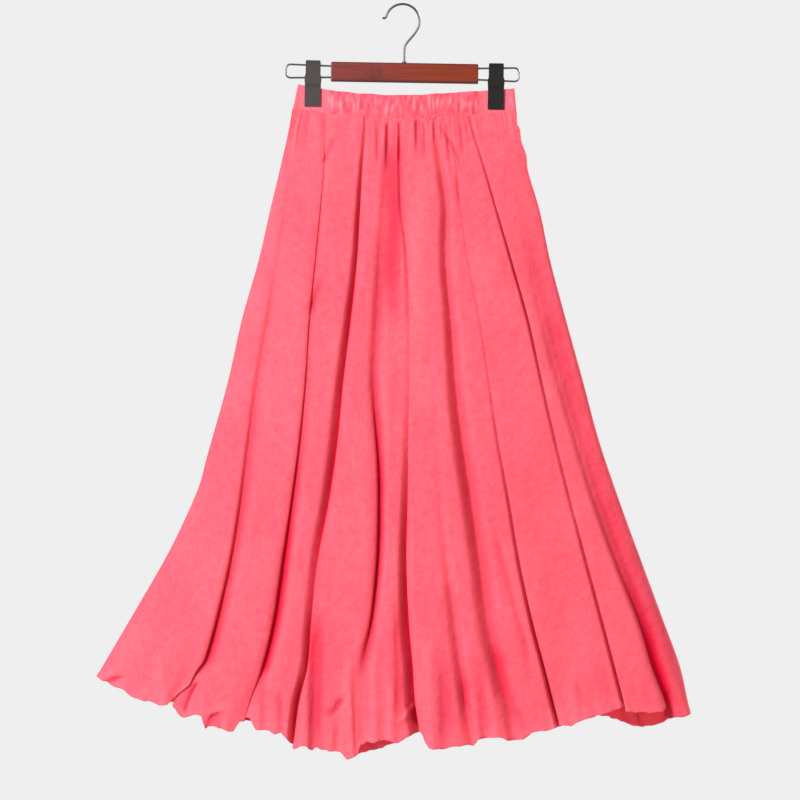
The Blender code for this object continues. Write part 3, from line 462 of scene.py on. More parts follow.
# At a side seam the face turns in to the middle plane, and the front's edge is tucked behind the back's.
SIDE_ROUNDING = 3.0
EDGE_TURN = 0.003
TURN_PULL = 0.5
SEAM_HALF_GAP = 0.00015
SEAM_TUCK = 0.0018
SEAM_LAP = 0.0006

# Drops from which the folds ease and tuck in at the hem, and how far below that they have done so.
EASE_DROP, EASE_REACH = 0.910, 0.045
TUCK_DROP, TUCK_REACH = 0.86, 0.12

# The panels' columns, counted out at one drop, crowd at the side seams, on lapping edges and wide flanks.
COLUMN_DROP = 0.98
COLUMN_SPACING = 0.0036
FEWEST_COLUMNS = 5
FLANK_COLUMNS = 6
LAP_COLUMNS = 8
WIDE_FLANK = 0.012
TURN_SHARES = (0.0, 0.35, 0.7)
LEFT_EDGE = (0.0, 0.012, 0.03)
RIGHT_EDGE = (0.97, 0.988, 1.0)
EDGE_SHARE = 0.06

# Runs of rows as shares of a column's length: from, to and how many; the last run ends on the hem.
ROW_RUNS = ((0.0, 0.10, 22), (0.10, 0.91, 92), (0.91, 0.985, 24))
LAST_ROWS = (0.985, 1.0, 8)

# The top of a panel starts just above the waist seam and takes the casing's shape over a first share
# of its length. At the hem a column ends where its hem run says, found in a few rounds.
SEAM_STEP = 0.0012
CASING_LEVEL = 0.10
HEM_ROUNDS = 4
LAP_HEM_SHARE = 0.3
OPEN_HEM_SPREAD = 1.15
HEM_NOISE, HEM_NOISE_CELL = 0.0015, 0.0060

# Unevenness of the cloth: its cells across and down, the finer layers' shares of the coarser ones,
# and how far from the hem, the waist seam and the side seams it fades.
RIPPLE_CELL, FINE_RIPPLE_CELL = (0.014, 0.050), (0.006, 0.050)
CRUMPLE_CELL, FINE_CRUMPLE_CELL = (0.030, 0.060), (0.011, 0.020)
SWAY_CELL = (0.045, 0.300)
FINE_RIPPLE, FINE_CRUMPLE = 0.5, 0.4
RIPPLE_RUN, RIPPLE_REACH = 0.25, 0.030
CRUMPLE_LEVEL, SWAY_LEVEL = 0.2, 0.3
SEAM_EASE = 0.012

# The small gathers below the waist seam: where they lie, and the ranges of their draws.
GATHER_FROM, GATHER_TO = -0.150, 0.153
GATHER_SIZES = (0.35, 1.0)
GATHER_REACHES = (0.0014, 0.0028)
GATHER_LENGTHS = (0.014, 0.075)
GATHER_SPACINGS = (0.0045, 0.0085)
GATHERS_OUTWARDS = 0.55
GATHER_INWARDS = -0.8
GATHER_DROP = 0.150
GATHER_RUN_OUT = 0.8
SEAM_DROP, SEAM_REACH = 0.140, 0.020

# Painted shade inside the folds, a deeper and redder colour where shade falls: how much of it an open
# or lapped fold and the hem get, the depth at which it is full, how late it builds up, and what a
# trough adds. Folds that the cloth on the left laps over build up later, and so do wide flanks.
FACE_TONE = 0.1
OPEN_TONE = 0.30
LAPPED_TONE = 0.90
FULL_DEPTH = 0.0110
LEFT_LAP_DEPTH = 0.80
TONE_POWER = 1.2
LEFT_LAP_POWER = 1.5
WIDE_POWER = 70.0
WIDE_SPREAD = 0.018
TROUGH_DEPTH = 0.0140
TROUGH_TONES = (-0.1, 0.30)
HEM_TONE, HEM_TONE_REACH = 0.45, 0.045
CREASE_OPEN_END = 0.1
MERGE_DISTANCE = 1e-6

Column = namedtuple("Column", "kind index side share")


def level_of(drop):
    """Share of the way from the waist seam to the hem."""
    return (np.asarray(drop) - LEVEL_DROPS[0]) / (LEVEL_DROPS[-1] - LEVEL_DROPS[0])


def at_level(values, drop):
    """Read a curve set at the eight levels."""
    return curve_through(LEVEL_DROPS, values, np.minimum(drop, LEVEL_DROPS[-1]))


def fold_line(panel, index, drop):
    """Where a fold's edge or, past the first and last fold, a side seam runs."""
    if index < 0:
        return curve_through(LEFT_DROPS, LEFT_SIDE, drop)
    if index >= len(panel.folds):
        return curve_through(RIGHT_DROPS, RIGHT_SIDE, drop)
    return curve_through(panel.drops, panel.folds[index].x, drop)


def fold_depth(panel, fold, drop):
    """How far a fold runs in."""
    ease = mix(1.0, fold.ease, smooth_step((drop - EASE_DROP) / EASE_REACH))
    return at_level(fold.depth, drop) * panel.press * ease


def flank_width(fold, side, drop):
    """Width of a flank before the gap's room limits it; a lapping edge rounds off over more cloth."""
    widths = np.interp(level_of(drop), WIDTH_LEVELS, fold.left if side < 0 else fold.right)
    return widths * (LAP_WIDER if fold.over == side else 1.0)


def gap_scale(panel, gap, drop):
    """Share of the flanks' widths that fits between fold gap - 1 and fold gap."""
    used = SMALLEST_WIDTH
    if gap > 0:
        used = used + flank_width(panel.folds[gap - 1], 1, drop)
    if gap < len(panel.folds):
        used = used + flank_width(panel.folds[gap], -1, drop)
    room = (fold_line(panel, gap, drop) - fold_line(panel, gap - 1, drop)) * FLANK_ROOM
    return np.minimum(1.0, np.maximum(room, SMALLEST_ROOM) / used)


def flank(panel, index, side, t, drop):
    """x and inward depth of a flank, from the bottom of its fold at t = 0 to the face at t = 1."""
    fold = panel.folds[index]
    depth = fold_depth(panel, fold, drop)
    width = flank_width(fold, side, drop) * gap_scale(panel, index + (side > 0), drop)
    lean = fold.over * (LEAN_SHARE * depth + fold.tuck * smooth_step((drop - TUCK_DROP) / TUCK_REACH))
    low, high = OPEN_ACROSS
    open_offset = bezier(lean, mix(lean, side * width, low), side * high * width, side * width, t)
    open_sink = bezier(depth, OPEN_INWARDS * depth, 0.0, 0.0, t)
    if fold.over == side:
        low, high = LAP_ACROSS
        offset = bezier(lean, side * low * width, side * high * width, side * width, t)
        low, high = LAP_INWARDS
        sink = bezier(depth, low * depth, high * depth, 0.0, t)
    elif fold.over:
        slot = np.minimum(SLOT_OF_DEPTH * depth, SLOT_OF_WIDTH * width)
        slot = np.minimum(slot, WIDEST_SLOT) if fold.over > 0 else slot
        offset = bezier(lean, side * slot, side * mix(slot, width, UNDER_ACROSS), side * width, t)
        sink = bezier(depth, UNDER_INWARDS * depth, 0.0, 0.0, t)
    else:
        offset, sink = open_offset, open_sink
    lapped = smooth_step(2.0 * depth / fold.soft - 1.0) if fold.soft else 1.0
    return fold_line(panel, index, drop) + mix(open_offset, offset, lapped), mix(open_sink, sink, lapped)


def face_span(panel, gap, drop, scale=1.0):
    """Where the face of the cloth between two folds starts and ends."""
    start = fold_line(panel, gap - 1, drop)
    end = fold_line(panel, gap, drop)
    if gap > 0:
        start = start + flank_width(panel.folds[gap - 1], 1, drop) * scale
    if gap < len(panel.folds):
        end = end - flank_width(panel.folds[gap], -1, drop) * scale
    return start, end


def flank_steps(fold, side):
    """Number of columns on a flank."""
    hem_width = (fold.left if side < 0 else fold.right)[-1]
    steps = LAP_COLUMNS if fold.over == side else FLANK_COLUMNS
    return steps + round(max(0.0, hem_width - WIDE_FLANK) / COLUMN_SPACING)


def list_columns(panel):
    """List a panel's columns from its left side seam to its right one."""
    count = len(panel.folds)
    columns = [Column("turn", 0, -1, share) for share in TURN_SHARES]
    for gap in range(count + 1):
        start, end = face_span(panel, gap, COLUMN_DROP)
        steps = max(FEWEST_COLUMNS, round(float(end - start) / COLUMN_SPACING))
        shares = [(step + 0.5) / steps for step in range(steps)]
        if gap == 0:
            shares = [*LEFT_EDGE, *(mix(EDGE_SHARE, 1.0, share) for share in shares)]
        if gap == count:
            shares = [*(mix(0.0, 1.0 - EDGE_SHARE, share) for share in shares), *RIGHT_EDGE]
        columns += [Column("face", gap, 0, share) for share in shares]
        if gap < count:
            left, right = (flank_steps(panel.folds[gap], side) for side in (-1, 1))
            columns += [Column("flank", gap, -1, step / left) for step in range(left, -1, -1)]
            columns += [Column("flank", gap, 1, step / right) for step in range(1, right + 1)]
    return columns + [Column("turn", count, 1, share) for share in reversed(TURN_SHARES)]


def column_line(panel, column, drop):
    """x and inward depth of a column at the given drops."""
    if column.kind == "flank":
        return flank(panel, column.index, column.side, column.share, drop)
    if column.kind == "turn":
        return fold_line(panel, -1 if column.side < 0 else column.index, drop), np.zeros_like(drop)
    start, end = face_span(panel, column.index, drop, gap_scale(panel, column.index, drop))
    return mix(start, end, column.share), np.zeros_like(drop)


def hem_at(panel, column, x):
    """Height of the hem under a column that ends at x."""
    flanked = column.kind == "flank"
    run = panel.hems[column.index + (flanked and column.side > 0)]
    height = float(np.interp(x, *zip(*run)))
    if flanked:
        fold = panel.folds[column.index]
        turned = fold.over == column.side or fold.tuck
        ease = column.share / LAP_HEM_SHARE if turned else column.share * OPEN_HEM_SPREAD
        height = mix(fold.hem, height, float(smooth_step(ease)))
    return height


def lift_at(panel, x, drop):
    """How far a panel's face stands off the middle plane."""
    left = fold_line(panel, -1, drop)
    right = fold_line(panel, len(panel.folds), drop)
    across = np.abs((x - (left + right) / 2) / ((right - left) / 2))
    rounded = np.maximum(0.0, 1.0 - np.minimum(1.0, across) ** SIDE_ROUNDING) ** (1 / SIDE_ROUNDING)
    full = np.maximum(at_level(panel.lifts, drop) * rounded, EDGE_TURN)
    return mix(waist_depth(x), full, smooth_step(level_of(drop) / CASING_LEVEL))


def crease_rise(creases, x, z):
    """Sum of the soft troughs and ridges at each point, and of their painted shade."""
    rise = np.zeros_like(x)
    tone = np.zeros_like(x)
    for crease in creases:
        places, heights = zip(*crease.path)
        drops = [-height for height in heights]
        away = x - curve_through(drops, places, -z)
        along = (-z - drops[0]) / (drops[-1] - drops[0])
        fade = smooth_step(along / crease.start)
        if crease.end > CREASE_OPEN_END:
            fade = fade * smooth_step((1.0 - along) / crease.end)
        away = away / np.where(away < 0, crease.left, crease.right)
        rise += crease.rise * np.exp(-away ** 2) * fade
        # Painted shade along the crease, fading out across it.
        tone += crease.tone * np.exp(-away ** 4) * fade
    return rise, tone


def gather_rise(top_x, drop, depth, seed):
    """Small gathers that start at the waist seam and run out below it."""
    rng = np.random.default_rng(seed)
    rise = np.zeros_like(drop)
    place = GATHER_FROM
    while place < GATHER_TO:
        size = depth * rng.uniform(*GATHER_SIZES)
        size *= 1.0 if rng.uniform() < GATHERS_OUTWARDS else GATHER_INWARDS
        reach = rng.uniform(*GATHER_REACHES)
        along = (drop - GATHER_DROP) / rng.uniform(*GATHER_LENGTHS)
        fade = smooth_step((1.0 - along) / GATHER_RUN_OUT) * smooth_step((drop - SEAM_DROP) / SEAM_REACH)
        rise += size * np.exp(-((top_x - place) / reach) ** 2) * fade
        place += rng.uniform(*GATHER_SPACINGS)
    return rise


def column_points(panel, column, shares):
    """Points of one column, its x at the waist seam and how far it lies sunk in a fold."""
    top_x = float(column_line(panel, column, np.array([LEVEL_DROPS[0]]))[0][0])
    top = float(seam_height(top_x)) + SEAM_STEP
    end = -1.0
    for _ in range(HEM_ROUNDS):
        end_x = float(column_line(panel, column, np.array([-end]))[0][0])
        end = hem_at(panel, column, end_x)
    end += float(HEM_NOISE * soft_noise(end_x, 0.0, HEM_NOISE_CELL, 1.0, panel.seed + 6))
    z = mix(top, end, shares)
    x, sunk = column_line(panel, column, -z)
    away = lift_at(panel, x, -z)
    if column.kind == "turn":
        turn = math.radians(90.0 * column.share)
        away = mix(SEAM_HALF_GAP, away, math.sin(turn))
        x = x - column.side * away * (1.0 - math.cos(turn)) * TURN_PULL
        if panel.face < 0 and column.share == 0.0:
            away = np.full_like(away, -SEAM_LAP)
            x = x - column.side * SEAM_TUCK
    return np.stack([x, away - sunk, z], axis=1), top_x, sunk


def fold_painted_shade(over, sunk, deepest, spread, rise, from_hem):
    """Share of the folds' painted shade at each point."""
    full = np.maximum(FULL_DEPTH, np.where(over < 0, LEFT_LAP_DEPTH, 1.0) * deepest)
    power = np.where(over < 0, LEFT_LAP_POWER, TONE_POWER)
    power = power + WIDE_POWER * np.maximum(0.0, spread - WIDE_SPREAD)
    reach = np.where(over == 0, OPEN_TONE, LAPPED_TONE)
    tone = FACE_TONE + reach * np.clip(sunk / full, 0.0, 1.0) ** power
    tone = tone + np.clip(-rise / TROUGH_DEPTH, *TROUGH_TONES)
    return tone * mix(HEM_TONE, 1.0, smooth_step(from_hem / HEM_TONE_REACH))


def panel_points(panel, settings):
    """Work out a panel's points, its cloth coordinates and the share of painted shade that each point gets
    in the folds.
    """
    columns = list_columns(panel)
    runs = [np.linspace(*run, endpoint=False) for run in ROW_RUNS]
    shares = np.concatenate(runs + [np.linspace(*LAST_ROWS)])
    grid = np.zeros((len(columns), len(shares), 3))
    top_x, sunk, deepest, spread = np.zeros((4, len(columns), len(shares)))
    over = np.zeros((len(columns), 1))
    for number, column in enumerate(columns):
        grid[number], top_x[number], sunk[number] = column_points(panel, column, shares)
        if column.kind == "flank":
            fold = panel.folds[column.index]
            drop = -grid[number, :, 2]
            over[number] = fold.over
            deepest[number] = fold_depth(panel, fold, drop)
            spread[number] = flank_width(fold, column.side, drop)
    x = grid[:, :, 0]
    z = grid[:, :, 2]
    level = level_of(-z)
    hem_x = x[:, -1:]
    from_hem = z - z[:, -1:]
    side = np.minimum(x - fold_line(panel, -1, -z), fold_line(panel, len(panel.folds), -z) - x)
    rise, tone = crease_rise(panel.creases, x, z)
    rise += gather_rise(top_x, -z, settings.gather_depth, panel.seed)
    run = from_hem * RIPPLE_RUN
    ripple = soft_noise(hem_x, run, *RIPPLE_CELL, panel.seed + 1)
    ripple += FINE_RIPPLE * soft_noise(hem_x, run, *FINE_RIPPLE_CELL, panel.seed + 2)
    rise += settings.hem_ripple * ripple * np.exp(-from_hem / RIPPLE_REACH)
    crumple = soft_noise(x, z, *CRUMPLE_CELL, panel.seed + 3)
    rise += settings.crumple * crumple * smooth_step(level / CRUMPLE_LEVEL)
    rise += FINE_CRUMPLE * settings.crumple * soft_noise(x, z, *FINE_CRUMPLE_CELL, panel.seed + 4)
    # Painted shade: the share of the folds' deeper colour, from how far each point lies sunk in a fold, the
    # creases and the hem.
    inside = np.clip(fold_painted_shade(over, sunk, deepest, spread, rise, from_hem) + tone, 0.0, 1.0)
    sway = soft_noise(x, z, *SWAY_CELL, panel.seed + 5)
    rise += settings.sway * sway * smooth_step(level / SWAY_LEVEL)
    grid[:, :, 1] = panel.face * (grid[:, :, 1] + rise * smooth_step(side / SEAM_EASE))
    across = run_along(grid, 0)
    return grid, across - across[-1:] / 2, run_along(grid, 1), inside


def grid_piece(name, points, uv_u, uv_v, inside, flipped=False, closed=False):
    """Make a piece from a plane grid whose corners are moved to points[column, row]."""
    from_hem = uv_v[:, -1:] - uv_v
    columns, rows = uv_v.shape
    mesh = bpy.data.meshes.new(name)
    work = bmesh.new()
    bmesh.ops.create_grid(work, x_segments=columns - 1, y_segments=rows - 1, size=1.0)
    layer = work.loops.layers.uv.new("cloth")
    hem = work.verts.layers.float.new("from_hem")
    # The share of painted shade in the folds and in the ruffles' troughs, read by the cloth's colour ramp.
    deep = work.verts.layers.float.new("inside_fold")
    for vertex in work.verts:
        column = round((vertex.co.x + 1.0) / 2.0 * (columns - 1))
        corner = (column, round((1.0 - vertex.co.y) / 2.0 * (rows - 1)))
        vertex.co = points[corner]
        vertex[hem] = from_hem[corner]
        vertex[deep] = inside[corner]
        for loop in vertex.link_loops:
            loop[layer].uv = (uv_u[corner], uv_v[corner])
    if closed:
        bmesh.ops.remove_doubles(work, verts=work.verts, dist=MERGE_DISTANCE)
        edges = [edge for edge in work.edges if edge.is_boundary]
        bmesh.ops.holes_fill(work, edges=edges, sides=0)
        bmesh.ops.recalc_face_normals(work, faces=work.faces)
    elif flipped:
        bmesh.ops.reverse_faces(work, faces=work.faces)
    work.to_mesh(mesh)
    work.free()
    mesh.shade_smooth()
    piece = bpy.data.objects.new(name, mesh)
    bpy.context.scene.collection.objects.link(piece)
    return piece


def finish_piece(piece, material, node):
    """Give a piece its finish and its body, and hide the solid that it stands for."""
    piece.data.materials.append(material)
    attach(piece, "root")
    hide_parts(node)


def make_panel(panel, settings):
    """Make one of the skirt's cloth panels."""
    piece = grid_piece(panel.name, *panel_points(panel, settings), flipped=panel.face > 0)
    group = piece.vertex_groups.new(name="turned_hem")
    thin = settings.thickness / settings.hem_thickness
    group.add([vertex.index for vertex in piece.data.vertices], thin, "REPLACE")
    hem = piece.data.attributes["from_hem"].data
    group.add([index for index, row in enumerate(hem) if row.value <= settings.hem_width], 1.0, "REPLACE")
    wall = piece.modifiers.new("cloth thickness", "SOLIDIFY")
    wall.thickness = settings.hem_thickness
    wall.offset = 0.0
    wall.use_rim = True
    wall.vertex_group = group.name
    finish_piece(piece, panel_cloth(settings), panel.node)
    return piece


# --- Materials ----------------------------------------------------------------------------------
# Painted shade in the folds: what the cloth's colour is multiplied by, from the face of the cloth to the
# bottom of a deep fold, as a share of its own.
FOLD_SHADE_TINTS = ((0.0, (1.0, 1.0, 1.0)), (0.10, (1.0, 0.88, 0.91)), (0.32, (0.88, 0.64, 0.73)),
              (0.60, (0.80, 0.28, 0.42)), (0.82, (0.78, 0.08, 0.25)), (1.0, (0.84, 0.012, 0.20)))
PANEL_GLOW = 0.34
CASING_GLOW = 0.30

# Threads and slubs of the cloth: how often their patterns repeat in a metre along it, across it and
# inwards, the slubs' turns in degrees, and how far each pattern stands out.
WARP, WEFT, SLUBS = (620.0, 55.0, 1.0), (60.0, 640.0, 1.0), (420.0, 130.0, 1.0)
SLUB_TURNS = (38.0, -42.0)
CRINKLE_STRETCH = (1.0, 0.7, 1.0)
THREAD_RISE, CRINKLE_RISE, MOTTLE_RISE, SLUB_RISE = 0.00010, 0.00130, 0.00250, 0.00045

# The same for the wood's fine and broad grain, in x, y and z.
GRAIN, BROAD_GRAIN = (12.0, 220.0, 380.0), (16.0, 20.0, 90.0)
GRAIN_RISE = 0.00008

# Shares of a finish's own colour in its darker and lighter parts, and the wires' colours.
CLOTH_DARKER, CLOTH_LIGHTER = (0.90, 0.30, 0.42), (1.04, 1.62, 1.48)
CASING_TINT = (1.0, 1.60, 1.42)
SHEEN_TINT = (1.0, 0.62, 0.66)
WOOD_LEFT, WOOD_RIGHT, WOOD_DARK = (0.90, 0.50, 0.78), (1.02, 0.44, 0.10), (0.20, 0.20, 0.20)
CLIP_TINT = (1.15, 0.94, 0.92)
DARK_WIRE, BRIGHT_WIRE = (0.075, 0.066, 0.066), (0.095, 0.088, 0.088)

# The bar's tilt, its knot, and where its four darker rims start and end once it is turned level.
HANGER_TILT = math.radians(0.95)
KNOT_PLACE = (0.0200, 0.0, 0.094)
KNOT_SHAPE = (0.55, 0.6, 0.9)
KNOT_SWIRL = 0.016
BAR_RIMS = (("Z", -0.1062, -0.1040), ("Z", -0.0818, -0.0828),
            ("X", -0.0998, -0.0978), ("X", 0.1062, 0.1042))


def tinted(colour, *shares):
    """Multiply a colour's three values, up to 1."""
    return tuple(min(1.0, value * share) for value, share in zip(colour, shares))


def feed(tree, socket, value):
    """Link a socket to an output, or set it to a number or a colour."""
    if hasattr(value, "is_output"):
        tree.links.new(value, socket)
    else:
        socket.default_value = (*value, 1.0) if isinstance(value, tuple) else value


def add_node(tree, kind, links=(), **values):
    """Add a node, set its own settings and input values, and link its inputs."""
    node = tree.nodes.new("ShaderNode" + kind)
    for key, value in values.items():
        if hasattr(node, key):
            setattr(node, key, value)
        else:
            node.inputs[key.replace("_", " ").title()].default_value = value
    for target, source in links:
        tree.links.new(source, node.inputs[target])
    return node


def new_material(name):
    """Start a material with a principled shader."""
    material = bpy.data.materials.new(name)
    material.use_nodes = True
    tree = material.node_tree
    tree.nodes.clear()
    shader = add_node(tree, "BsdfPrincipled")
    output = add_node(tree, "OutputMaterial", [("Surface", shader.outputs["BSDF"])])
    return material, tree, shader, output


def set_shader(tree, shader, height, strength, **values):
    """Give a shader its bump, from a height in metres, and its values."""
    bump = add_node(tree, "Bump", [("Height", height)], strength=strength, distance=1.0)
    feed(tree, shader.inputs["Normal"], bump.outputs["Normal"])
    for key, value in values.items():
        feed(tree, shader.inputs[key.replace("_", " ").title().replace("Ior", "IOR")], value)


def mapped(tree, coords, **values):
    """Move, turn and stretch a pattern's coordinates."""
    node = add_node(tree, "Mapping", [("Vector", coords)])
    for key, value in values.items():
        node.inputs[key.title()].default_value = value
    return node.outputs["Vector"]


def noise_on(tree, coords, scale=1.0, detail=3.0, roughness=0.6, stretch=(1.0, 1.0, 1.0), turn=0.0):
    """A noise pattern, turned and then stretched along the cloth's or the wood's own directions."""
    if turn:
        coords = mapped(tree, coords, rotation=(0.0, 0.0, math.radians(turn)))
    coords = mapped(tree, coords, scale=stretch)
    return add_node(tree, "TexNoise", [("Vector", coords)],
                    scale=scale, detail=detail, roughness=roughness).outputs["Fac"]


def math_of(tree, operation, first, second):
    """Join two values."""
    node = add_node(tree, "Math", operation=operation)
    feed(tree, node.inputs[0], first)
    feed(tree, node.inputs[1], second)
    return node.outputs[0]


def ranged(tree, value, start, end, low=0.0, high=1.0, **values):
    """Turn what runs from start to end into what runs from low to high and stays there."""
    return add_node(tree, "MapRange", [("Value", value)], from_min=start, from_max=end,
                    to_min=low, to_max=high, **values).outputs["Result"]


def mix_colour(tree, factor, first, second, blend="MIX"):
    """Mix two colours."""
    node = add_node(tree, "Mix", data_type="RGBA", blend_type=blend)
    for socket, value in ((0, factor), (6, first), (7, second)):
        feed(tree, node.inputs[socket], value)
    return node.outputs[2]


def attribute_of(tree, name):
    """Read one of the cloth's own values."""
    return add_node(tree, "Attribute", attribute_name=name).outputs["Fac"]


def cloth_material(name, colour, glow):
    """Washed linen and cotton cloth: slubbed threads, faint mottling and a dry crinkle, with painted shade
    in the folds and painted light near the hem.
    """
    material, tree, shader, output = new_material(name)
    coords = add_node(tree, "UVMap", uv_map="cloth").outputs["UV"]
    warp = noise_on(tree, coords, stretch=WARP)
    weft = noise_on(tree, coords, stretch=WEFT)
    threads = math_of(tree, "ADD", warp, weft)
    mottle = noise_on(tree, coords, 75.0, 6.0, 0.72)
    crinkle = noise_on(tree, coords, 95.0, 5.0, 0.66, CRINKLE_STRETCH)
    strokes, crossing = (noise_on(tree, coords, stretch=SLUBS, turn=turn) for turn in SLUB_TURNS)
    darker = tinted(colour, *CLOTH_DARKER)
    lighter = tinted(colour, *CLOTH_LIGHTER)
    shade = mix_colour(tree, math_of(tree, "MULTIPLY", threads, 0.5), darker, lighter)
    shade = mix_colour(tree, ranged(tree, mottle, 0.3, 0.7, 0.0, 0.62), shade, lighter)
    dry = ranged(tree, math_of(tree, "MINIMUM", strokes, crossing), 0.43, 0.26, 0.0, 0.42)
    shade = mix_colour(tree, dry, shade, darker)
    # Painted light: the cloth is lighter over the last 30 mm above the hem, where light shows through a
    # single layer.
    painted_hem_light = ranged(tree, attribute_of(tree, "from_hem"), 0.0, 0.030, 0.32, 0.0)
    shade = mix_colour(tree, painted_hem_light, shade, lighter)
    # Painted shade: the cloth's colour is multiplied darker and redder by the share painted into the folds
    # and the ruffles' troughs.
    ramp = add_node(tree, "ValToRGB", [("Fac", attribute_of(tree, "inside_fold"))])
    stops = ramp.color_ramp.elements
    stops[0].color = (*FOLD_SHADE_TINTS[0][1], 1.0)
    stops[1].color = (*FOLD_SHADE_TINTS[-1][1], 1.0)
    for place, tint in FOLD_SHADE_TINTS[1:-1]:
        stops.new(place).color = (*tint, 1.0)
    shade = mix_colour(tree, 1.0, shade, ramp.outputs["Color"], "MULTIPLY")
    height = math_of(tree, "MULTIPLY", threads, THREAD_RISE)
    slubs = math_of(tree, "ADD", strokes, crossing)
    for pattern, rise in ((crinkle, CRINKLE_RISE), (mottle, MOTTLE_RISE), (slubs, SLUB_RISE)):
        height = math_of(tree, "ADD", height, math_of(tree, "MULTIPLY", pattern, rise))
    set_shader(tree, shader, height, 0.75, base_color=shade, roughness=0.88, specular_ior_level=0.12,
               sheen_weight=0.10, sheen_roughness=0.55, sheen_tint=SHEEN_TINT)
    light = add_node(tree, "BsdfTranslucent", [("Color", shade)])
    both = add_node(tree, "MixShader", [(1, shader.outputs["BSDF"]), (2, light.outputs["BSDF"])], fac=glow)
    feed(tree, output.inputs["Surface"], both.outputs["Shader"])
    return material


def panel_cloth(settings):
    """The panels' cloth, made once for both."""
    name = "washed coral cloth"
    return bpy.data.materials.get(name) or cloth_material(name, tuple(settings.colour), PANEL_GLOW)


def wood_material(name, colour):
    """Satin lacquered mahogany, redder on the right, with a knot left of the middle."""
    material, tree, shader, _ = new_material(name)
    coords = add_node(tree, "TexCoord").outputs["Object"]
    level = mapped(tree, coords, rotation=(0.0, -HANGER_TILT, 0.0))
    place = add_node(tree, "SeparateXYZ", [("Vector", level)])
    around = mapped(tree, level, location=KNOT_PLACE, scale=KNOT_SHAPE)
    reach = add_node(tree, "VectorMath", [(0, around)], operation="LENGTH").outputs["Value"]
    near = ranged(tree, reach, 0.001, 0.017, 1.0, 0.0, interpolation_type="SMOOTHSTEP")
    swirl = add_node(tree, "CombineXYZ", [("Z", math_of(tree, "MULTIPLY", near, KNOT_SWIRL))])
    bent = add_node(tree, "VectorMath", [(0, level), (1, swirl.outputs["Vector"])]).outputs["Vector"]
    grain = noise_on(tree, bent, 1.0, 6.0, 0.65, GRAIN)
    broad = noise_on(tree, level, 1.0, 3.0, 0.5, BROAD_GRAIN)
    side = math_of(tree, "ADD", place.outputs["X"], math_of(tree, "MULTIPLY", broad, 0.05))
    dark = tinted(colour, *WOOD_DARK)
    shade = mix_colour(tree, ranged(tree, side, -0.020, 0.065), tinted(colour, *WOOD_LEFT),
                       tinted(colour, *WOOD_RIGHT))
    shade = mix_colour(tree, ranged(tree, grain, 0.44, 0.66, 0.0, 0.42), shade, dark)
    knot = math_of(tree, "MULTIPLY", near, math_of(tree, "MULTIPLY", grain, 0.75))
    shade = mix_colour(tree, knot, shade, dark)
    for axis, start, end in BAR_RIMS:
        shade = mix_colour(tree, ranged(tree, place.outputs[axis], start, end, 0.70, 0.0), shade, dark)
    set_shader(tree, shader, math_of(tree, "MULTIPLY", grain, GRAIN_RISE), 0.5, base_color=shade,
               roughness=0.42, specular_ior_level=0.22, coat_weight=0.06, coat_roughness=0.30)
    return material


def plain_material(name, colour, roughness, metallic, grain_scale, bump_height, specular=0.5):
    """A moulded or plated finish with fine unevenness."""
    material, tree, shader, _ = new_material(name)
    pattern = noise_on(tree, add_node(tree, "TexCoord").outputs["Object"], grain_scale)
    shade = mix_colour(tree, pattern, tinted(colour, 0.85, 0.85, 0.85), tinted(colour, 1.2, 1.2, 1.2))
    rough = ranged(tree, pattern, 0.0, 1.0, roughness * 0.85, min(1.0, roughness * 1.2))
    set_shader(tree, shader, math_of(tree, "MULTIPLY", pattern, bump_height), 0.5, base_color=shade,
               roughness=rough, metallic=metallic, specular_ior_level=specular)
    return material


def refinish(material, *nodes):
    """Give hanger solids their finish."""
    for node in nodes:
        for slot in frame["nodes"][node].material_slots:
            slot.material = material


# --- Casing -------------------------------------------------------------------------------------
# The casing's columns run from end to end, crowded where it rounds off; its rows run up the front,
# over the top and down inside. Its foot is thinner, where the gathers leave it, more so on the left.
BAND_HEIGHT = 0.034
CASING_COLUMNS = 236
LEFT_END = (0.0, 0.0015, 0.004, 0.007)
RIGHT_END = (0.993, 0.996, 0.9985, 1.0)
OUTER_ROWS = 22
TOP_ROWS = 8
INNER_ROWS = 8
END_ROUNDING = 0.0032
BOTTOM = -0.02
BOTTOM_SIDE = 0.4
FOOT_SHARES = (0.26, 0.50)
FOOT_FROM, FOOT_SPAN = -0.060, 0.120
FOOT_HEIGHT = 0.22

# Ruffles: where they lie, and the ranges of their draws. Sizes are shares of the largest ruffle,
# middles and extents shares of the casing's height. The top's small waves have draws of their own.
RUFFLE_FROM, RUFFLE_TO = -0.152, 0.156
RUFFLE_SIZES = (0.15, 1.0)
RUFFLE_GROWTH, RUFFLE_POWER = 1.15, 1.6
RUFFLE_REACHES = (0.0012, 0.0030)
RUFFLE_MIDDLES = (0.34, 0.70)
RUFFLE_EXTENTS = (0.12, 0.34)
RUFFLE_SLANTS = (-0.004, 0.004)
RUFFLE_SPACINGS = (0.0042, 0.0118)
WAVE_FROM = -0.150
WAVE_SIZES = (-0.6, 0.8)
WAVE_REACHES = (0.002, 0.004)
WAVE_SPACINGS = (0.006, 0.012)
WAVE_HEIGHT, WAVE_LEVEL = 0.0004, 0.6
RUFFLE_MEAN = 0.0007
PRESSED_RUFFLE = 0.08
CREPE, CREPE_CELL = 0.0005, (0.0035, 0.008)
TOP_NOISE, TOP_NOISE_CELL = 0.0006, 0.009
# Painted shade and highlight on the ruffles: a deeper colour in their troughs and a lighter one on their
# ridges, as a share for the cloth's colour ramp.
CASING_TONE, CASING_TONES = 0.24, (0.0, 0.7)
RUFFLE_TONE_DEPTH = 0.0032
CASING_CLOTH = 2.6


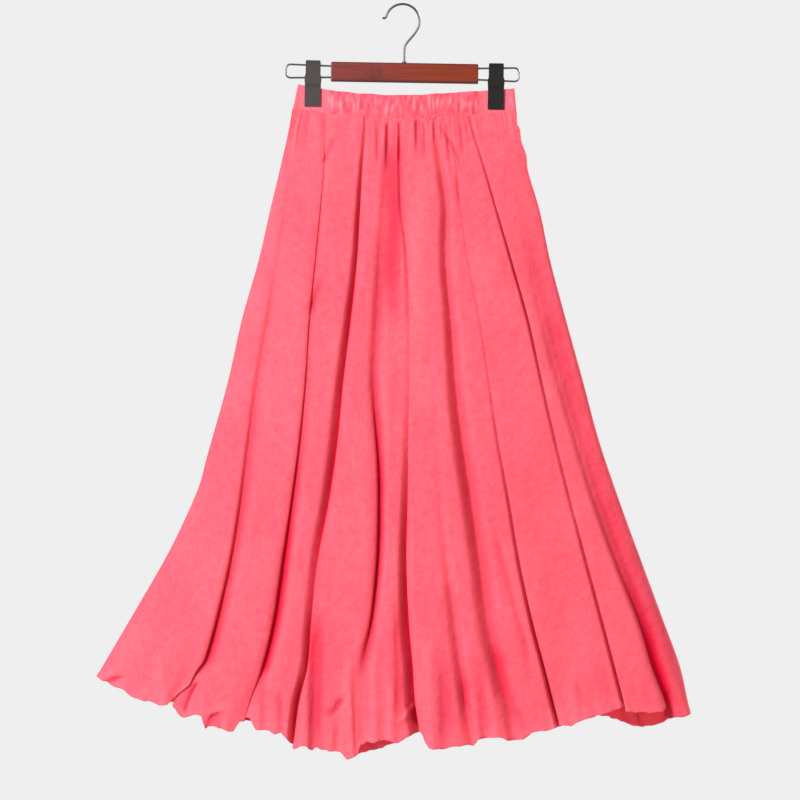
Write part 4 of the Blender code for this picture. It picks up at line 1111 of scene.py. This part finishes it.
def draw_ruffles(rng):
    """Draw the casing's ruffles and the small waves of its top edge."""
    ruffles = []
    place = RUFFLE_FROM
    while place < RUFFLE_TO:
        size = RUFFLE_GROWTH * rng.uniform(*RUFFLE_SIZES) ** RUFFLE_POWER
        ruffles.append((place, size, *(rng.uniform(*draw) for draw in (
            RUFFLE_REACHES, RUFFLE_MIDDLES, RUFFLE_EXTENTS, RUFFLE_SLANTS))))
        place += rng.uniform(*RUFFLE_SPACINGS)
    waves = []
    place = WAVE_FROM
    while place < RUFFLE_TO:
        waves.append((place, rng.uniform(*WAVE_SIZES), rng.uniform(*WAVE_REACHES)))
        place += rng.uniform(*WAVE_SPACINGS)
    return ruffles, waves


def casing_points(face, settings, seed):
    """Work out one half of the casing: out over the ruffles, over the top and down inside."""
    ruffles, waves = draw_ruffles(np.random.default_rng(seed))
    half = settings.casing_thickness / 2
    share = np.concatenate([LEFT_END, np.linspace(0.010, 0.990, CASING_COLUMNS), RIGHT_END])
    loop = [(height, 1.0) for height in np.linspace(0.0, 1.0, OUTER_ROWS)]
    loop += [(1.0 + 0.5 * half / BAND_HEIGHT * math.sin(angle), math.cos(angle))
             for angle in np.linspace(0.0, math.pi, TOP_ROWS)[1:-1]]
    loop += [(height, -1.0) for height in np.linspace(1.0, 0.0, INNER_ROWS)]
    loop += [(BOTTOM, -BOTTOM_SIDE), (BOTTOM, BOTTOM_SIDE), (0.0, 1.0)]
    points = np.zeros((len(share), len(loop), 3))
    deep = np.zeros((len(share), len(loop)))
    for number, (height, side) in enumerate(loop):
        left = mix(BAND_SEAM_X[0], BAND_TOP_X[0], height)
        right = mix(BAND_SEAM_X[1], BAND_TOP_X[1], height)
        x = mix(left, right, share)
        fade = clip_fade(x)
        end = np.clip(np.minimum(x - left, right - x) / END_ROUNDING, 0.0, 1.0)
        rounded = np.sqrt(np.maximum(0.0, 1.0 - (1.0 - end) ** 2))
        depth = mix(SEAM_HALF_GAP + half, np.maximum(waist_depth(x), half + SEAM_HALF_GAP), rounded)
        rise = np.zeros_like(x)
        if side > 0:
            for centre, size, reach, middle, extent, slant in ruffles:
                away = x - centre - slant * (height - 0.5)
                rise += (settings.ruffle_height * size * np.exp(-(away / reach) ** 2)
                         * math.exp(-((height - middle) / extent) ** 2))
            rise -= RUFFLE_MEAN
            rise += CREPE * soft_noise(x, height * BAND_HEIGHT, *CREPE_CELL, seed + 7)
        near_top = max(0.0, height - WAVE_LEVEL)
        for centre, size, reach in waves:
            wave = np.exp(-((x - centre) / reach) ** 2) * near_top / (1.0 - WAVE_LEVEL)
            rise += WAVE_HEIGHT * size * wave
        rise = rise * np.maximum(fade, PRESSED_RUFFLE) * rounded
        top = curve_through(WAIST_X, WAIST_TOPS, x)
        top = top + TOP_NOISE * soft_noise(x, 0.0, TOP_NOISE_CELL, 1.0, seed + 9) * fade
        foot = mix(*FOOT_SHARES, smooth_step((x - FOOT_FROM) / FOOT_SPAN))
        stand = half * (1.0 if side < 0 else mix(foot, 1.0, float(smooth_step(height / FOOT_HEIGHT))))
        points[:, number, 0] = x
        points[:, number, 1] = face * (depth + side * stand + (rise if side > 0 else 0.0))
        points[:, number, 2] = mix(seam_height(x), top - half, height)
        # Painted shade in the ruffles' troughs and painted highlight on their ridges.
        deep[:, number] = np.clip(CASING_TONE - rise / RUFFLE_TONE_DEPTH, *CASING_TONES)
    points[:, -1] = points[:, 0]
    deep[:, -1] = deep[:, 0]
    across = np.repeat(points[:, :1, 0], len(loop), axis=1) * CASING_CLOTH
    return points, across, run_along(points, 1), deep


# --- Stage --------------------------------------------------------------------------------------
FLOOR_RADIUS = 1.5
FLOOR_HEIGHT = -1.25
FLOOR_GREYS = ((0.40, 0.40, 0.40), (0.44, 0.44, 0.44))
CAMERA_X = -0.0049
CAMERA_HEIGHT = -0.5527
SENSOR_WIDTH = 36.0

# The soft lights: which, across, where and the point that each looks at.
LIGHTS = (("key", 1.0, (-2.3, -2.95, 0.85), (0.0, 0.0, -0.6)),
          ("side", 1.6, (3.2, 0.35, -0.2), (0.2, 0.0, -0.6)),
          ("back", 1.6, (2.3, 2.95, 0.85), (0.0, 0.0, -0.6)))


def make_floor(scene):
    """Make the pale floor."""
    work = bmesh.new()
    bmesh.ops.create_circle(work, cap_ends=True, segments=96, radius=FLOOR_RADIUS)
    bmesh.ops.translate(work, vec=Vector((0.0, 0.0, FLOOR_HEIGHT)), verts=work.verts)
    mesh = bpy.data.meshes.new("floor")
    work.to_mesh(mesh)
    work.free()
    floor = bpy.data.objects.new("floor", mesh)
    scene.collection.objects.link(floor)
    material, tree, shader, _ = new_material("pale floor")
    pattern = noise_on(tree, add_node(tree, "TexCoord").outputs["Object"], 6.0, 3.0, 0.5)
    feed(tree, shader.inputs["Base Color"], mix_colour(tree, pattern, *FLOOR_GREYS))
    shader.inputs["Roughness"].default_value = 0.9
    mesh.materials.append(material)


def make_surroundings(scene, settings):
    """Make the light from all around and the plain grey that the camera sees."""
    world = bpy.data.worlds.new("plain grey")
    world.use_nodes = True
    tree = world.node_tree
    background = tree.nodes["Background"]
    background.inputs["Color"].default_value = (1.0, 1.0, 1.0, 1.0)
    seen = add_node(tree, "LightPath").outputs["Is Camera Ray"]
    strength = ranged(tree, seen, 0.0, 1.0, settings.fill, settings.backdrop)
    feed(tree, background.inputs["Strength"], strength)
    scene.world = world


def make_light(scene, name, size, power, place, aim):
    """Make a soft round light that looks at a point."""
    light = bpy.data.lights.new(name, "AREA")
    light.shape = "DISK"
    light.size = size
    light.energy = power
    lamp = bpy.data.objects.new(name, light)
    lamp.location = place
    lamp.rotation_euler = (Vector(aim) - Vector(place)).to_track_quat("-Z", "Y").to_euler()
    scene.collection.objects.link(lamp)


def make_camera(scene, settings):
    """Make the camera, level and square to the hanger."""
    camera = bpy.data.cameras.new("camera")
    camera.sensor_width = SENSOR_WIDTH
    camera.lens = SENSOR_WIDTH * settings.camera_distance / settings.frame_width
    camera.clip_end = 60.0
    view = bpy.data.objects.new("camera", camera)
    view.location = (CAMERA_X, -settings.camera_distance, CAMERA_HEIGHT)
    view.rotation_euler = (math.radians(90.0), 0.0, 0.0)
    scene.collection.objects.link(view)
    scene.camera = view


# --- Operators ----------------------------------------------------------------------------------
class SKIRT_OT_front_panel(bpy.types.Operator):
    """Make the front panel with its pleats, creases and turned hem"""

    bl_idname = "skirt.front_panel"
    bl_label = "Front panel"

    def execute(self, context):
        piece = make_panel(FRONT, context.scene.skirt_cloth)
        return {"FINISHED"}


class SKIRT_OT_back_panel(bpy.types.Operator):
    """Make the back panel with its pleats, creases and turned hem"""

    bl_idname = "skirt.back_panel"
    bl_label = "Back panel"

    def execute(self, context):
        piece = make_panel(BACK, context.scene.skirt_cloth)
        return {"FINISHED"}


class SKIRT_OT_casing(bpy.types.Operator):
    """Make the two halves of the ruffled elastic casing"""

    bl_idname = "skirt.casing"
    bl_label = "Elastic casing"

    def execute(self, context):
        settings = context.scene.skirt_cloth
        lighter = tinted(settings.colour, *CASING_TINT)
        material = cloth_material("ruffled coral cloth", lighter, CASING_GLOW)
        for name, face, seed, node, clips in (
                ("front_casing", -1, 41, "waistband_front", ["clip_front_left", "clip_front_right"]),
                ("back_casing", 1, 53, "waistband_back", ["clip_back_left", "clip_back_right"])):
            piece = grid_piece(name, *casing_points(face, settings, seed), closed=True)
            finish_piece(piece, material, node)
        return {"FINISHED"}


class SKIRT_OT_hanger_bar(bpy.types.Operator):
    """Finish the hanger's wooden bar"""

    bl_idname = "skirt.hanger_bar"
    bl_label = "Hanger bar"

    def execute(self, context):
        colour = tuple(context.scene.skirt_hanger.wood_colour)
        refinish(wood_material("satin mahogany", colour), "hanger_bar")
        return {"FINISHED"}


class SKIRT_OT_hanger_wires(bpy.types.Operator):
    """Finish the hook, its collar and the two wire loops"""

    bl_idname = "skirt.hanger_wires"
    bl_label = "Hook and wire loops"

    def execute(self, context):
        dark = plain_material("dark plated wire", DARK_WIRE, 0.42, 0.85, 300.0, 0.00005)
        bright = plain_material("plated loop wire", BRIGHT_WIRE, 0.40, 0.9, 300.0, 0.00005)
        refinish(dark, "hanger_hook", "hook_collar")
        refinish(bright, "wire_loop_left", "wire_loop_right")
        return {"FINISHED"}


class SKIRT_OT_clips(bpy.types.Operator):
    """Finish the two clips"""

    bl_idname = "skirt.clips"
    bl_label = "Clips"

    def execute(self, context):
        black = context.scene.skirt_hanger.clip_colour
        core = plain_material("matt black", COLOURS["clip_core_plastic"], 0.7, 0.0, 700.0, 0.0001, 0.2)
        # Painted light and shade: one moulded black in two copies, the left clip's plates painted lighter
        # (0.90 of the black) and the right's painted darker (0.22).
        for side, share, gloss in (("left", 0.90, 0.26), ("right", 0.22, 0.16)):
            colour = tinted(tinted(black, share, share, share), *CLIP_TINT)
            plate = plain_material("moulded black " + side, colour, 0.5, 0.0, 900.0, 0.0001, gloss)
            refinish(plate, "clip_front_" + side, "clip_back_" + side)
            refinish(core, "clip_core_" + side)
        return {"FINISHED"}


class SKIRT_OT_stage(bpy.types.Operator):
    """Make the pale floor, the soft light and the camera"""

    bl_idname = "skirt.stage"
    bl_label = "Stage"

    def execute(self, context):
        scene = context.scene
        settings = scene.skirt_stage
        scene.view_settings.view_transform = "Standard"
        scene.view_settings.look = "None"
        scene.view_settings.exposure = 0.0
        scene.view_settings.gamma = 1.0
        make_floor(scene)
        make_surroundings(scene, settings)
        for name, size, place, aim in LIGHTS:
            make_light(scene, name + " light", size, getattr(settings, name + "_power"), place, aim)
        make_camera(scene, settings)
        return {"FINISHED"}


class SKIRT_PT_pieces(bpy.types.Panel):
    """List the skirt's and the hanger's pieces"""

    bl_idname = "SKIRT_PT_pieces"
    bl_label = "Skirt on a clip hanger"
    bl_space_type = "VIEW_3D"
    bl_region_type = "UI"
    bl_category = "Skirt"

    def draw(self, context):
        layout = self.layout
        for group in (context.scene.skirt_cloth, context.scene.skirt_hanger, context.scene.skirt_stage):
            box = layout.box()
            for name in group.__annotations__:
                box.prop(group, name)
        for operator in OPERATORS:
            layout.operator(operator.bl_idname)


OPERATORS = (SKIRT_OT_stage, SKIRT_OT_front_panel, SKIRT_OT_back_panel, SKIRT_OT_casing,
             SKIRT_OT_hanger_bar, SKIRT_OT_hanger_wires, SKIRT_OT_clips)
CLASSES = (ClothSettings, HangerSettings, StageSettings) + OPERATORS + (SKIRT_PT_pieces,)


def register():
    """Add the settings, the operators and the panel."""
    for item in CLASSES:
        bpy.utils.register_class(item)
    bpy.types.Scene.skirt_cloth = PointerProperty(type=ClothSettings)
    bpy.types.Scene.skirt_hanger = PointerProperty(type=HangerSettings)
    bpy.types.Scene.skirt_stage = PointerProperty(type=StageSettings)


def unregister():
    """Take the settings, the operators and the panel away."""
    del bpy.types.Scene.skirt_stage
    del bpy.types.Scene.skirt_hanger
    del bpy.types.Scene.skirt_cloth
    for item in reversed(CLASSES):
        bpy.utils.unregister_class(item)


def main():
    """Make every piece."""
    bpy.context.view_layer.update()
    register()
    bpy.ops.skirt.stage()
    bpy.ops.skirt.front_panel()
    bpy.ops.skirt.back_panel()
    bpy.ops.skirt.casing()
    bpy.ops.skirt.hanger_bar()
    bpy.ops.skirt.hanger_wires()
    bpy.ops.skirt.clips()


if __name__ == "__main__":
    main()
